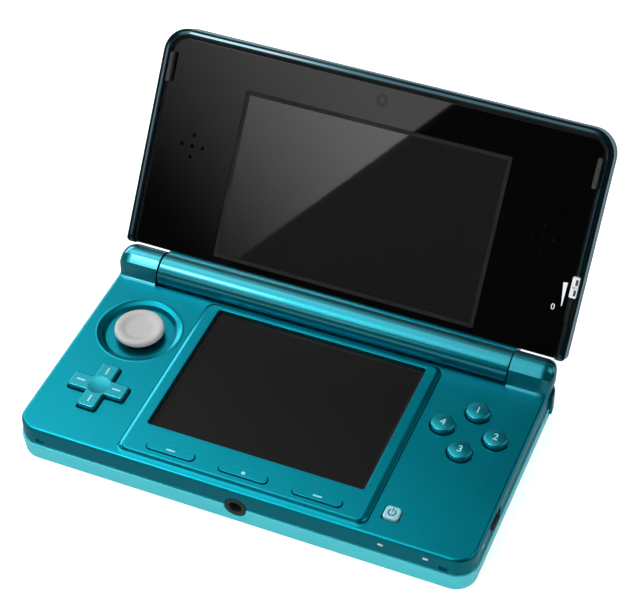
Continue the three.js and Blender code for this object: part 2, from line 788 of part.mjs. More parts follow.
function coverSkin() {
  return loft([
    { shape: baseOutline(coverTaper + coverFoot), z: 0 },
    { shape: baseOutline(coverTaper), z: coverFoot },
    { shape: baseOutline(0), z: seamHeight - coverLip },
    { shape: baseOutline(0), z: seamHeight - seamGap },
    { shape: baseOutline(seamGap), z: seamHeight },
  ]);
}

// The gap in the bottom cover's left wall for the memory card door.
function doorRoom(gap) {
  const half = sdDoorLength / 2 + gap;
  return block(-baseHalf - overrun, -baseHalf + coverWall + coverTaper + overrun,
    sdAlong - half, sdAlong + half, sdDoorLow - gap, seamHeight + overrun);
}

function bottomCover() {
  const inside = prism(baseOutline(coverWall), coverFloor, seamHeight + overrun);
  const ports = block(-portHalf - seatGap, portHalf + seatGap, baseRear - coverWall - overrun,
    baseRear + overrun, coverFloor, seamHeight + overrun);
  const jack = rodAlongY(jackRadius + seamGap, -baseFront - overrun, -baseFront + coverWall + overrun,
    0, jackHeight);
  const sinks = screwPlaces.map(([x, y]) => turned([
    [0, -overrun],
    [screwHead + seamGap, -overrun],
    [screwHead + seamGap, screwSink + screwHeadThickness],
    [screwShank + seatGap, screwSink + screwHeadThickness],
    [screwShank + seatGap, coverFloor + overrun],
    [0, coverFloor + overrun],
  ], x, y, smallRoundSteps));
  return cut(coverSkin(), inside, ports, jack, doorRoom(seamGap), ...sinks, shoulderRoom(1),
    shoulderRoom(-1));
}

// The room for the memory card slot and its door, through the housing's left wall.
function cardRoom(gap) {
  return block(-baseHalf, -baseHalf + coverWall + sdLength + sdWall + gap,
    sdAlong - sdWidth / 2 - sdWall - gap, sdAlong + sdWidth / 2 + sdWall + gap,
    sdFloor - sdWall - gap, sdFloor + sdHeight + sdWall + gap);
}

function gameSlotRoom(gap) {
  const half = gameSlotWidth / 2 + cageWall + gap;
  return block(-half, half, baseRear - portInset - gameSlotLength - cageWall - gap,
    baseRear + overrun, housingLow - overrun, housingHigh + overrun);
}

function innerHousing() {
  const rim = housingInset + housingWall;
  const outer = prism(baseOutline(housingInset), housingLow, housingHigh);
  const hollow = prism(baseOutline(rim), housingLow + housingFloor, housingHigh + overrun);
  const portShape = cornered(-portHalf, portHalf, baseRear - coverLip - portInset - portWall - rim,
    baseRear - portInset, seamGap);
  const ports = prism(portShape, housingLow, seamHeight, 1);
  const bay = prism(batteryOutline(seatGap + bayWall), housingLow, seamHeight);
  const bayRoom = prism(batteryOutline(seatGap), housingLow - overrun, housingHigh + overrun);
  const tunnelOuter = stylusRadius + seatGap + tunnelWall;
  const tunnelEnd = baseRear - portInset - stylusLength - seatGap;
  const tunnel = block(stylusAcross - tunnelOuter, stylusAcross + tunnelOuter,
    tunnelEnd - tunnelWall, baseRear - portInset - portWall, housingLow, seamHeight);
  const bore = rodAlongY(stylusRadius + seatGap, tunnelEnd, baseRear + overrun,
    stylusAcross, stylusHeight, smallRoundSteps);
  const bosses = screwPlaces.map(([x, y]) =>
    post(screwShank + seatGap + bossWall, housingLow, seamHeight, x, y, smallRoundSteps));
  const bossHoles = screwPlaces.map(([x, y]) =>
    post(screwShank + seatGap, housingLow - overrun, screwLength + coverFloor, x, y, smallRoundSteps));
  const jackRoom = block(-jackRadius - seatGap, jackRadius + seatGap, -baseFront,
    -baseFront + jackLength + 2 * seatGap, jackHeight - jackRadius - seatGap, housingHigh + overrun);
  const chargeRoom = block(chargeAcross - chargeWidth / 2 - seatGap,
    chargeAcross + chargeWidth / 2 + seatGap, baseRear - portInset - chargeLength - seatGap,
    baseRear + overrun, portLevel - chargeHeight / 2 - seatGap, portLevel + chargeHeight / 2 + seatGap);
  const infraredRoom = block(infraredAcross - infraredWidth / 2 - seamGap,
    infraredAcross + infraredWidth / 2 + seamGap, baseRear - portInset - infraredDepth - seatGap,
    baseRear + overrun, portLevel - infraredHeight / 2 - seamGap,
    portLevel + infraredHeight / 2 + seamGap);
  const body = joined(cut(outer, hollow), ports, bay, tunnel, ...bosses);
  return cut(body, bayRoom, gameSlotRoom(seatGap), cardRoom(seatGap), bore, ...bossHoles, jackRoom,
    chargeRoom, infraredRoom, padRoom(), rearRoom(), shoulderRoom(1), shoulderRoom(-1));
}

// What the circle pad's housing needs inside the inner housing.
function padRoom() {
  const half = padHousingSize / 2 + seatGap;
  return block(padAcross - half, padAcross + half, padAlong - half, padAlong + half,
    padHousingFloor - seatGap, housingHigh + overrun);
}

// The housing stays below the solid rear of the control face.
function rearRoom() {
  return block(-baseHalf, baseHalf, cavityRear - seatGap, baseRear + overrun,
    seamHeight, housingHigh + overrun);
}

function coverScrew([x, y]) {
  const low = screwSink;
  const head = turned([
    [0, low],
    [screwHead, low],
    [screwHead, low + screwHeadThickness - seamGap / 2],
    [screwShank, low + screwHeadThickness - seamGap / 2],
    [screwShank, low + screwLength],
    [0, low + screwLength],
  ], x, y, smallRoundSteps);
  const half = screwDriveLength / 2;
  const deep = low + screwHeadThickness / 2;
  return cut(head,
    block(x - half, x + half, y - screwDrive / 2, y + screwDrive / 2, low - overrun, deep),
    block(x - screwDrive / 2, x + screwDrive / 2, y - half, y + half, low - overrun, deep));
}

// Touch screen

function screenSurround() {
  const half = surroundWidth / 2;
  const step = surroundStep;
  const low = prism(cornered(-half, half, -surroundFront, surroundRear, surroundCorner),
    baseHeight, baseHeight + surroundStepHeight);
  const high = softPrism(cornered(-half + step, half - step, -surroundFront + step,
    surroundRear - step, surroundCorner - step / 2), baseHeight + seamGap / 2,
    baseHeight + surroundHeight, seamGap);
  const window = prism(centred(0, 0, touchWidth, touchDepth, dPadCorner), baseHeight - overrun,
    baseHeight + surroundHeight + overrun);
  const keys = Object.values(keyPlaces).map((x) =>
    prism(centred(x, keyAlong, keyWidth + 2 * runGap, keyDepth + 2 * runGap, keyCorner),
      baseHeight - overrun, baseHeight + surroundHeight + overrun));
  return cut(joined(low, high), window, ...keys);
}

function touchPanel() {
  return prism(centred(0, 0, touchWidth + 2 * touchMargin, touchDepth + 2 * touchMargin, dPadCorner),
    touchTop - touchThickness, touchTop);
}

function lowerDisplay() {
  const high = touchTop - touchThickness - seatGap;
  return prism(centred(0, 0, touchWidth - 2 * lowerDisplayMargin, touchDepth, dPadCorner),
    high - lowerDisplayThickness, high);
}

// Inside the base

function mainBoard() {
  const half = baseHalf - boardInset;
  const outline = cornered(-half, half, -baseFront + boardInset, cavityRear - seatGap,
    baseCorner - boardInset, wellRim);
  const room = padHousingSize / 2 + seatGap;
  const padHole = block(padAcross - room, padAcross + room, padAlong - room, padAlong + room,
    boardHeight - overrun, boardTop + overrun);
  const jackHole = block(-jackRadius - seatGap, jackRadius + seatGap, -baseFront,
    -baseFront + jackLength + 2 * seatGap, boardHeight - overrun, boardTop + overrun);
  return cut(prism(outline, boardHeight, boardTop), padHole, jackHole);
}

// The battery's outline in plan, let out by a gap.
function batteryOutline(gap) {
  const front = batteryFromFront - baseFront;
  return cornered(batteryLow - gap, batteryHigh + gap, front - gap, front + batteryDepth + gap,
    batteryCorner);
}

function battery() {
  return prism(batteryOutline(0), housingLow, seamHeight);
}

function gameCardSlot() {
  const half = gameSlotWidth / 2;
  const back = baseRear - portInset - gameSlotLength;
  const mouth = baseRear - portInset - portWall;
  const cage = block(-half - cageWall, half + cageWall, back - cageWall, mouth,
    gameSlotFloor - cageWall, gameSlotFloor + gameSlotHeight + cageWall);
  return cut(cage, block(-half, half, back, mouth + overrun, gameSlotFloor,
    gameSlotFloor + gameSlotHeight));
}

function sdCardSlot() {
  const half = sdWidth / 2;
  const mouth = -baseHalf + coverWall + coverTaper;
  const back = -baseHalf + coverWall + sdLength;
  const cage = block(mouth, back + sdWall, sdAlong - half - sdWall, sdAlong + half + sdWall,
    sdFloor - sdWall, sdFloor + sdHeight + sdWall);
  return cut(cage, block(mouth - overrun, back, sdAlong - half, sdAlong + half, sdFloor,
    sdFloor + sdHeight));
}

function headphoneJack() {
  const face = -baseFront + coverLip / 2;
  const end = face + jackLength;
  return turnedAlongY([
    [jackBore, face + jackRing / 2],
    [jackBore + jackRing, face],
    [jackRadius - jackRing / 2, face],
    [jackRadius, face + jackRing / 2],
    [jackRadius, end],
    [0, end],
    [0, end - jackRing],
    [jackBore, end - jackRing],
    [jackBore, face + jackRing / 2],
  ], 0, jackHeight);
}

function chargingJack() {
  const face = baseRear - portInset - coverLip;
  const back = baseRear - portInset - chargeLength;
  const half = chargeWidth / 2;
  const low = portLevel - chargeHeight / 2;
  const high = portLevel + chargeHeight / 2;
  const body = block(chargeAcross - half, chargeAcross + half, back, face, low, high);
  const mouth = block(chargeAcross - half + chargeWall, chargeAcross + half - chargeWall,
    back + chargeWall * 2, face + overrun, low + chargeWall, high - chargeWall);
  const tongue = block(chargeAcross - half / 2, chargeAcross + half / 2, back + chargeWall,
    face - coverLip, portLevel - chargeTongue / 2, portLevel + chargeTongue / 2);
  return joined(cut(body, mouth), tongue);
}

function infraredWindow() {
  const outline = centred(infraredAcross, portLevel, infraredWidth, infraredHeight, cageWall);
  const face = baseRear - portInset - seamGap / 2;
  const made = prism(outline, 0, infraredDepth, 2);
  return made.rotateX(Math.PI / 2).translate(0, face, 0);
}

function frontLight(x) {
  return block(x - lightWidth / 2, x + lightWidth / 2, -baseFront + coverLip,
    -baseFront + coverLip + lightLength, lightHeight - lightThickness / 2,
    lightHeight + lightThickness / 2);
}

function sideLight() {
  const wall = baseHalf - coverLip;
  return block(wall - lightLength, wall, wirelessLightAlong - lightWidth / 2,
    wirelessLightAlong + lightWidth / 2, lightHeight - lightThickness / 2,
    lightHeight + lightThickness / 2);
}

function buttonMembrane() {
  const low = boardTop + seatGap;
  const sheet = post(membraneRadius, low, low + membraneThickness, buttonsAcross, buttonsAlong);
  const domes = buttonPlaces.map(([x, y]) =>
    post(domeRadius, low, low + membraneThickness + domeHeight, x, y, smallRoundSteps));
  return joined(sheet, ...domes);
}

// Circle pad: a housing on the board, a carriage that slides across, a stem that slides along it

function circlePadHousing() {
  const outline = centred(padAcross, padAlong, padHousingSize, padHousingSize, wellRim);
  const high = baseHeight - wellDepth - wellFloor - skirtThickness - 2 * seatGap;
  const box = prism(outline, padHousingFloor, high - seatGap, 2);
  const room = carriageWidth + 2 * (padTravel + runGap);
  const inside = block(padAcross - room / 2, padAcross + room / 2,
    padAlong - carriageDepth / 2 - runGap, padAlong + carriageDepth / 2 + runGap,
    padHousingFloor + padHousingWall, high + overrun);
  return cut(box, inside);
}

function circlePadCarriage() {
  const low = padHousingFloor + padHousingWall + seatGap;
  const plate = block(padAcross - carriageWidth / 2, padAcross + carriageWidth / 2,
    padAlong - carriageDepth / 2, padAlong + carriageDepth / 2, low, low + carriageThickness);
  const slot = block(padAcross - stemRadius - runGap, padAcross + stemRadius + runGap,
    padAlong - stemRadius - padTravel - runGap, padAlong + stemRadius + padTravel + runGap,
    low - overrun, low + carriageThickness + overrun);
  return cut(plate, slot);
}

function circlePadStem() {
  const foot = padHousingFloor + padHousingWall + seatGap;
  const skirtHigh = baseHeight - wellDepth - wellFloor - seatGap;
  const top = baseHeight + capHeight - capThickness + seatGap;
  return turned([
    [0, foot],
    [stemRadius, foot],
    [stemRadius, skirtHigh - skirtThickness],
    [skirtRadius, skirtHigh - skirtThickness],
    [skirtRadius, skirtHigh],
    [stemRadius, skirtHigh],
    [stemRadius, top],
    [0, top],
  ], padAcross, padAlong);
}

function circlePadCap() {
  const top = baseHeight + capHeight;
  const low = top - capThickness;
  const socket = low + 2 * seatGap;
  const profile = [
    [0, socket],
    [stemRadius + seatGap, socket],
    [stemRadius + seatGap, low],
    [capRadius - capEdge, low],
    [capRadius, low + capEdge],
  ];
  for (const { inset, z } of quarterRound(capEdge, capEdge, top)) {
    profile.push([capRadius - inset, z]);
  }
  profile.push([capDishRadius + capEdge / 2, top - capEdge / 5]);
  profile.push([capDishRadius, top - capDish]);
  profile.push([0, top - capDish - seamGap]);
  return turned(profile, padAcross, padAlong);
}

// D-pad: a cross that rocks on a small pivot disc

function dPadPivot() {
  const low = boardTop + seatGap;
  return post(pivotRadius, low, low + pivotThickness, dPadAcross, dPadAlong, smallRoundSteps);
}

function dPad() {
  const flangeHigh = faceUnder - dPadPlay;
  const flangeLow = flangeHigh - dPadFlangeThickness;
  const top = baseHeight + dPadHeight;
  const cross = softPrism(crossOutline(dPadSpan, dPadArm, dPadCorner), flangeLow, top, dPadEdge);
  const lip = prism(crossOutline(dPadSpan + 2 * dPadFlange, dPadArm + 2 * dPadFlange, dPadCorner),
    flangeLow, flangeHigh, 1);
  const postLow = boardTop + 2 * seatGap + pivotThickness;
  const foot = post(dPadPostRadius, postLow, flangeHigh, dPadAcross, dPadAlong, smallRoundSteps);
  const dish = turned([
    [0, top - dPadDish],
    [dPadDishRadius, top],
    [dPadDishRadius, top + overrun],
    [0, top + overrun],
  ], dPadAcross, dPadAlong, smallRoundSteps);
  return cut(joined(cross, lip, foot), dish);
}

// Buttons and keys

function faceButton([x, y]) {
  const top = baseHeight + buttonHeight;
  const profile = [
    [0, flangeTop - flangeThickness],
    [buttonRadius + buttonFlange, flangeTop - flangeThickness],
    [buttonRadius + buttonFlange, flangeTop],
    [buttonRadius, flangeTop],
  ];
  for (const { inset, z } of quarterRound(buttonEdge, buttonEdge, top - buttonDome)) {
    profile.push([buttonRadius - inset, z]);
  }
  profile.push([buttonRadius / 2, top - buttonDome / 4]);
  profile.push([0, top]);
  return turned(profile, x, y);
}

function systemKey(x) {
  return flangedKey(centred(x, keyAlong, keyWidth, keyDepth, keyCorner),
    centred(x, keyAlong, keyWidth + 2 * keyFlange, keyDepth + 2 * keyFlange, keyCorner),
    baseHeight + surroundHeight + keyHeight, keyEdge);
}

function powerButton() {
  return flangedKey(centred(powerAcross, powerAlong, powerSize, powerSize, powerCorner),
    centred(powerAcross, powerAlong, powerSize + 2 * keyFlange, powerSize + 2 * keyFlange,
      powerCorner), baseHeight + powerHeight, powerEdge);
}

function shoulderButton(side) {
  const bandOf = (high) => softPrism(baseOutline(-shoulderProud), shoulderLow, high,
    shoulderProud / 2, cornerSteps);
  const inner = prism(baseOutline(shoulderThickness), shoulderLow - overrun, shoulderHigh + overrun);
  const reach = baseHalf + shoulderProud + overrun;
  const boxFrom = (start) => block(start, reach, shoulderFront, baseRear + shoulderProud + overrun,
    shoulderLow - overrun, shoulderHigh + overrun);
  const flat = shared(cut(bandOf(shoulderMiddle), inner), boxFrom(shoulderInner));
  const tall = shared(cut(bandOf(shoulderHigh), inner), boxFrom(shoulderStep));
  const lugRadius = shoulderPinRadius + seatGap + shoulderLug;
  const lug = post(lugRadius, shoulderLow, shoulderMiddle, shoulderPinAcross, shoulderPinAlong,
    smallRoundSteps);
  const arm = block(shoulderPinAcross - lugRadius, shoulderPinAcross + lugRadius, shoulderPinAlong,
    baseRear - shoulderThickness / 2, shoulderLow, shoulderMiddle);
  const bore = post(shoulderPinRadius + seatGap, shoulderLow - overrun, shoulderMiddle + overrun,
    shoulderPinAcross, shoulderPinAlong, smallRoundSteps);
  return sided(cut(joined(flat, tall, lug, arm), bore), side);
}

function shoulderPin(side) {
  return post(shoulderPinRadius, shoulderLow - runGap + seatGap / 2,
    shoulderMiddle + runGap - seatGap / 2, side * shoulderPinAcross, shoulderPinAlong,
    smallRoundSteps);
}

// A knob that slides in a slot of the side wall, with a ribbed face and a wider back.
function sideKnob(side) {
  const wall = baseHalf - coverLip;
  const half = sideKnobLength / 2;
  const thick = sideKnobThickness / 2;
  const inside = wall - sideWall - seatGap;
  const knob = block(inside - sideFlangeThickness / 2, wall + sideKnobProud, sideKnobAlong - half,
    sideKnobAlong + half, sideKnobHeight - thick, sideKnobHeight + thick);
  const flange = block(inside - sideFlangeThickness, inside, sideKnobAlong - half - sideFlange,
    sideKnobAlong + half + sideFlange, Math.max(boardTop + seatGap, sideKnobHeight - thick - sideFlange),
    flangeTop);
  const grooves = [];
  const pitch = sideKnobLength / (sideRibs + 1);
  for (let k = 1; k <= sideRibs; k += 1) {
    const y = sideKnobAlong - half + k * pitch;
    grooves.push(block(wall + sideKnobProud - sideRib, wall + sideKnobProud + overrun,
      y - pitch / 4, y + pitch / 4, sideKnobHeight - thick - overrun, sideKnobHeight + thick + overrun));
  }
  return sided(cut(joined(knob, flange), ...grooves), side);
}

function cardDoor() {
  const inner = prism(baseOutline(coverTaper + sdDoorThickness - coverLip), 0, seamHeight + overrun);
  return shared(cut(coverSkin(), inner), doorRoom(0));
}

// Stylus, stowed in its tunnel

function stylusBarrel() {
  const end = baseRear - portInset;
  const start = end - stylusLength + stylusTipShow;
  return turnedAlongY([
    [stylusTipRadius + seamGap, start],
    [stylusRadius, start],
    [stylusRadius, end - stylusGrip],
    [stylusGripRadius, end - stylusGrip + stylusGripRadius / 2],
    [stylusGripRadius, end - stylusGripRadius],
    [stylusRadius, end - stylusGripRadius / 2],
    [stylusRadius, end - seamGap],
    [stylusRadius - seamGap, end],
    [0, end],
    [0, start + stylusTipLength - stylusTipShow],
    [stylusTipRadius + seamGap, start + stylusTipLength - stylusTipShow],
    [stylusTipRadius + seamGap, start],
  ], stylusAcross, stylusHeight, smallRoundSteps);
}

function stylusTip() {
  const end = baseRear - portInset;
  const start = end - stylusLength;
  return turnedAlongY([
    [0, start],
    [stylusTipRadius / 2, start + stylusPoint / 5],
    [stylusTipRadius, start + stylusPoint],
    [stylusTipRadius, start + stylusTipLength - seatGap],
    [0, start + stylusTipLength - seatGap],
  ], stylusAcross, stylusHeight, smallRoundSteps);
}

// Hinge pins between the knuckles and the barrel

function hingeClutch() {
  const inner = barrelHalf - pinInBarrel;
  const outer = barrelHalf + seatGap + pinInKnuckle;
  return rodAlongX(pinRadius, inner, outer, hingeBack, hingeHeight, smallRoundSteps);
}

function hingeSleeve() {
  const inner = barrelHalf - pinInBarrel;
  const outer = barrelHalf + seatGap + pinInKnuckle;
  const sleeve = rodAlongX(pinRadius, -outer, -inner, hingeBack, hingeHeight, smallRoundSteps);
  return cut(sleeve, rodAlongX(sleeveBore, -outer - overrun, -inner + overrun, hingeBack,
    hingeHeight, smallRoundSteps));
}

// Lid, in its closed frame about the hinge axis

function depthSlot(gap) {
  const half = sliderLength / 2 + gap;
  return block(sliderPlace - sliderWidth / 2 - gap, sliderPlace + sliderWidth / 2 + gap,
    -sliderReach - half, -sliderReach + sliderTravel + half, rimLevel - overrun,
    rimLevel + sliderDepth + seatGap);
}

function lidInnerFrame() {
  const ring = softPrism(lidOutline(0), rimLevel, lidSeam, seatGap);
  const neck = new THREE.Shape();
  neck.moveTo(lidNear - ledgeWidth, panelBack + seamGap);
  neck.lineTo(lidNear - ledgeWidth, lidSeam);
  neck.lineTo(lidNear + seamGap, lidSeam);
  neck.lineTo(lidNear + seamGap, neckTop);
  neck.quadraticCurveTo(-neckCrest * 2, neckTop, -neckCrest, neckCrestHeight);
  neck.quadraticCurveTo(neckCrest, barrelRadius, barrelRadius * Math.SQRT1_2,
    barrelRadius * Math.SQRT1_2);
  neck.lineTo(0, 0);
  neck.lineTo(lidNear, panelLevel);
  neck.lineTo(lidNear, panelBack + seamGap);
  const options = { depth: 2 * barrelHalf, bevelEnabled: false, curveSegments: cornerSteps };
  const web = new THREE.ExtrudeGeometry(neck, options);
  web.rotateX(Math.PI / 2).rotateZ(Math.PI / 2).translate(-barrelHalf, 0, 0);
  const barrel = rodAlongX(barrelRadius, -barrelHalf, barrelHalf, 0, 0);
  const pocket = prism(lidOutline(rimWidth, 0), rimLevel - overrun, panelBack + seamGap);
  const opening = prism(lidOutline(rimWidth + ledgeWidth, ledgeWidth), rimLevel - overrun,
    lidSeam + overrun);
  const bores = [-1, 1].map((side) =>
    sided(rodAlongX(pinRadius + seatGap, barrelHalf - pinInBarrel - seatGap, barrelHalf + overrun,
      0, 0, smallRoundSteps), side));
  const body = joined(cut(ring, pocket, opening), web, barrel);
  return cut(body, depthSlot(runGap), ...bores);
}

function lidOuterShell() {
  const skin = [{ shape: lidOutline(0), z: lidSeam + seamGap }];
  for (const { inset, z } of quarterRound(lidEdge, lidEdge, lidTop)) {
    skin.push({ shape: lidOutline(inset, inset * nearEdgeShare), z });
  }
  const inside = prism(lidOutline(lidWall, lidWall), lidSeam, lidTop - lidWall);
  const lenses = [-1, 1].map((side) =>
    post(outerLens + seamGap, lidTop - lidWall - overrun, lidTop + overrun,
      side * outerLensSpread, -cameraReach));
  return cut(loft(skin), inside, ...lenses);
}

function displayPanel() {
  const sheet = prism(lidOutline(rimWidth + seatGap, seatGap), panelLevel, panelBack);
  const window = prism(centred(0, -upperReach, upperWidth, upperHeight, seatGap),
    panelLevel - overrun, panelBack + overrun, 1);
  const lens = post(innerLens + seamGap, panelLevel - overrun, panelBack + overrun, 0, -cameraReach);
  const holes = [];
  for (const side of [-1, 1]) {
    for (const [u, v] of [[0, 0], [1, 0], [-1, 0], [0, 1], [0, -1]]) {
      holes.push(post(speakerHole, panelLevel - overrun, panelBack + overrun,
        side * speakerSpread + u * speakerPitch, -speakerReach + v * speakerPitch, smallRoundSteps / 2));
    }
  }
  return cut(sheet, window, lens, depthSlot(runGap), ...holes);
}

function upperDisplay() {
  const glass = prism(centred(0, -upperReach, upperWidth - 2 * seatGap, upperHeight - 2 * seatGap,
    seatGap), panelLevel + upperSink, panelBack + 2 * seatGap, 1);
  const module = prism(centred(0, -upperReach, upperWidth + 2 * upperModuleMargin,
    upperHeight + 2 * upperModuleMargin, seatGap), panelBack + seatGap,
    panelBack + seatGap + upperModuleDepth, 1);
  return joined(glass, module);
}

function speaker(side) {
  const low = panelBack + seatGap;
  return turned([
    [0, low],
    [speakerRadius, low],
    [speakerRadius, low + speakerDepth / 2],
    [speakerRadius / 2, low + speakerDepth],
    [0, low + speakerDepth],
  ], side * speakerSpread, -speakerReach, smallRoundSteps);
}

function innerCamera() {
  return turned([
    [0, panelLevel + upperSink],
    [innerLens * lensBoreShare, panelLevel + upperSink],
    [innerLens * lensRingShare, panelLevel + seamGap / 4],
    [innerLens, panelLevel + seamGap / 4],
    [innerLens, panelBack + seatGap],
    [0, panelBack + seatGap],
  ], 0, -cameraReach, smallRoundSteps);
}

function outerCamera(side) {
  const top = lidTop + outerLensProud;
  return turned([
    [0, lidTop - lidWall - seatGap],
    [outerLens, lidTop - lidWall - seatGap],
    [outerLens, top - seamGap],
    [outerLens - seamGap, top],
    [outerLens * lensRingShare, top],
    [outerLens * lensBoreShare, top - outerLensSink],
    [0, top - outerLensSink],
  ], side * outerLensSpread, -cameraReach, roundSteps);
}

function cameraBoard() {
  const high = lidTop - lidWall - 2 * seatGap;
  const half = cameraBoardDepth / 2;
  const low = panelBack + 2 * seatGap;
  const end = outerLensSpread + cameraBoardEnd;
  const plate = block(-end, end, -cameraReach - half + seatGap, -cameraReach + half - seatGap,
    high - cameraBoardThickness, high);
  const barrel = post(innerLens, low, high, 0, -cameraReach, smallRoundSteps);
  return joined(plate, barrel);
}

function bumper(side) {
  const low = baseHeight + bumperClear - hingeHeight;
  const outline = centred(side * bumperSpread, -bumperReach, bumperWidth, bumperLength,
    bumperWidth / 3);
  return softPrism(outline, low, panelLevel - seamGap / 4, seamGap, 2);
}

function depthSlider() {
  const x = sliderPlace;
  const half = (sliderLength / 2) * sliderFlatShare;
  const body = softPrism(centred(x, -sliderReach, sliderWidth, sliderLength, seamGap),
    rimLevel - sliderProud, rimLevel + sliderDepth, seamGap / 2, 1);
  const notch = block(x - sliderWidth / 4, x + sliderWidth, -sliderReach - sliderNotch / 2,
    -sliderReach + sliderNotch / 2, rimLevel - sliderProud - overrun,
    rimLevel - sliderProud + sliderNotch);
  const flat = block(x - sliderWidth / 5, x + sliderWidth, -sliderReach - half,
    -sliderReach + half, rimLevel - sliderProud - overrun, rimLevel - sliderProud + seamGap);
  return cut(body, notch, flat);
}

// Assembly

piece("control_face", controlFace(), looks.tealFace);
piece("bottom_cover", bottomCover(), looks.tealCover);
piece("inner_housing", innerHousing(), looks.darkPlastic);
screwPlaces.forEach((place, k) => piece(`cover_screw_${k + 1}`, coverScrew(place), looks.steel));
piece("screen_surround", screenSurround(), looks.tealFace);
piece("touch_panel", touchPanel(), looks.display);
piece("lower_display", lowerDisplay(), looks.steel);
piece("main_board", mainBoard(), looks.board);
piece("battery", battery(), looks.battery);
piece("game_card_slot", gameCardSlot(), looks.steel);
piece("sd_card_slot", sdCardSlot(), looks.steel);
piece("headphone_jack", headphoneJack(), looks.darkPlastic);
piece("charging_jack", chargingJack(), looks.steel);
piece("infrared_window", infraredWindow(), looks.lens);
piece("power_led", frontLight(powerLightAcross), looks.light);
piece("charge_led", frontLight(chargeLightAcross), looks.light);
piece("wireless_led", sideLight(), looks.light);
piece("button_membrane", buttonMembrane(), looks.greyRubber);

piece("circle_pad_housing", circlePadHousing(), looks.darkPlastic);
piece("circle_pad_carriage", circlePadCarriage(), looks.darkPlastic);
piece("circle_pad_stem", circlePadStem(), looks.darkPlastic);
piece("circle_pad", circlePadCap(), looks.padGrey);
piece("d_pad_pivot", dPadPivot(), looks.greyRubber);
piece("d_pad", dPad(), looks.tealKey);
buttonPlaces.forEach((place, k) => piece(`face_button_${k + 1}`, faceButton(place), looks.tealKey));
for (const [name, x] of Object.entries(keyPlaces)) piece(name, systemKey(x), looks.tealKey);
piece("power_button", powerButton(), looks.silver);
piece("shoulder_button_left", shoulderButton(-1), looks.tealFace);
piece("shoulder_button_right", shoulderButton(1), looks.tealFace);
piece("shoulder_pin_left", shoulderPin(-1), looks.steel);
piece("shoulder_pin_right", shoulderPin(1), looks.steel);
piece("volume_slider", sideKnob(-1), looks.darkPlastic);
piece("wireless_switch", sideKnob(1), looks.darkPlastic);
piece("sd_card_door", cardDoor(), looks.tealCover);
piece("stylus_barrel", stylusBarrel(), looks.darkPlastic);
piece("stylus_tip", stylusTip(), looks.silver);
piece("hinge_clutch", hingeClutch(), looks.steel);
piece("hinge_sleeve", hingeSleeve(), looks.steel);

piece("lid_inner_frame", lidInnerFrame(), looks.tealFace, lid);
piece("lid_outer_shell", lidOuterShell(), looks.tealFace, lid);
piece("display_panel", displayPanel(), looks.blackPanel, lid);
piece("upper_display", upperDisplay(), looks.display, lid);
piece("speaker_left", speaker(-1), looks.darkPlastic, lid);
piece("speaker_right", speaker(1), looks.darkPlastic, lid);
piece("inner_camera", innerCamera(), looks.lens, lid);
piece("outer_camera_left", outerCamera(-1), looks.lens, lid);
piece("outer_camera_right", outerCamera(1), looks.lens, lid);
piece("camera_board", cameraBoard(), looks.board, lid);
piece("lid_bumper_left", bumper(-1), looks.rubber, lid);
piece("lid_bumper_right", bumper(1), looks.rubber, lid);
piece("depth_slider", depthSlider(), looks.silver, lid);

export default handheld;
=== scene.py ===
"""Looks of an open clamshell handheld game console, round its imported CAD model.

Sizes are in millimetres in the frame of the CAD model: +X to the player's right, +Y to the
hinge, +Z up. Meshes are turned into metres when they become pieces.
"""

import logging
import math
from collections.abc import Callable, Sequence
from dataclasses import dataclass, field
from enum import Enum

import bmesh
import bpy
from mathutils import Matrix, Vector


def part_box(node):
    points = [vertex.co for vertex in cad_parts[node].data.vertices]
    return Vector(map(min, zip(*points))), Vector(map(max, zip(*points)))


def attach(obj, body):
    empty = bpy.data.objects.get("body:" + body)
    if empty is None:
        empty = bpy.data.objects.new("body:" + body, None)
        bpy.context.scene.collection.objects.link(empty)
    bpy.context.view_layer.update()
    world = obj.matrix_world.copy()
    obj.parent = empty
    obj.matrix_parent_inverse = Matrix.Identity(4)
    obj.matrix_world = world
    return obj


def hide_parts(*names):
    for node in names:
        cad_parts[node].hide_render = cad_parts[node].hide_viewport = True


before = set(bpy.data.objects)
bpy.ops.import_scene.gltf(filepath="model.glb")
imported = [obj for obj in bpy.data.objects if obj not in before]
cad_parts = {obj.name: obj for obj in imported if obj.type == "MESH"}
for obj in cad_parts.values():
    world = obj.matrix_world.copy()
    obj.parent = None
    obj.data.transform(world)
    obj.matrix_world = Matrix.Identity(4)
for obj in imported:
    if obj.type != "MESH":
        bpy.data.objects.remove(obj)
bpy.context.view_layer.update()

MM = 0.001
# How far a cutter reaches past what it cuts
OVERRUN = 1.0
LEAST_RADIUS = 0.03
ROUND_STEPS = 72
SMALL_ROUND_STEPS = 32
CORNER_STEPS = 10
EDGE_STEPS = 5
SHARP_ANGLE = math.radians(32)
FLAT_ANGLE = math.radians(1)
BEVEL_ANGLE = math.radians(35)
SAME_SPOT = 1e-6
CAP_STEPS = 96
FINE_STEPS = 8
DISPLAY_GAP = 0.1
# How far a print goes into its surface and stands out of it
PRINT_SINK = 0.05
PRINT_RISE = 0.03

Point = tuple[float, float]
Corner = tuple[float, float, float]
Outline = list[Point]
OutlineAt = Callable[[float], Outline]
Colour = tuple[float, float, float]
NodeOut = bpy.types.NodeSocket

logging.basicConfig(level=logging.INFO, format="%(message)s")
log = logging.getLogger("handheld")


class Carving(Enum):
    """What a second solid does to the first."""

    CUT = "DIFFERENCE"
    JOIN = "UNION"
    SHARE = "INTERSECT"


class Reckoning(Enum):
    """What is done with two numbers of a material."""

    SUM = "ADD"
    PRODUCT = "MULTIPLY"


class Side(Enum):
    """The player's left or right."""

    LEFT = -1
    RIGHT = 1


# Outlines in plan


def shares(count: int) -> list[float]:
    """Even shares from 0 to 1, both included."""
    return [k / count for k in range(count + 1)]


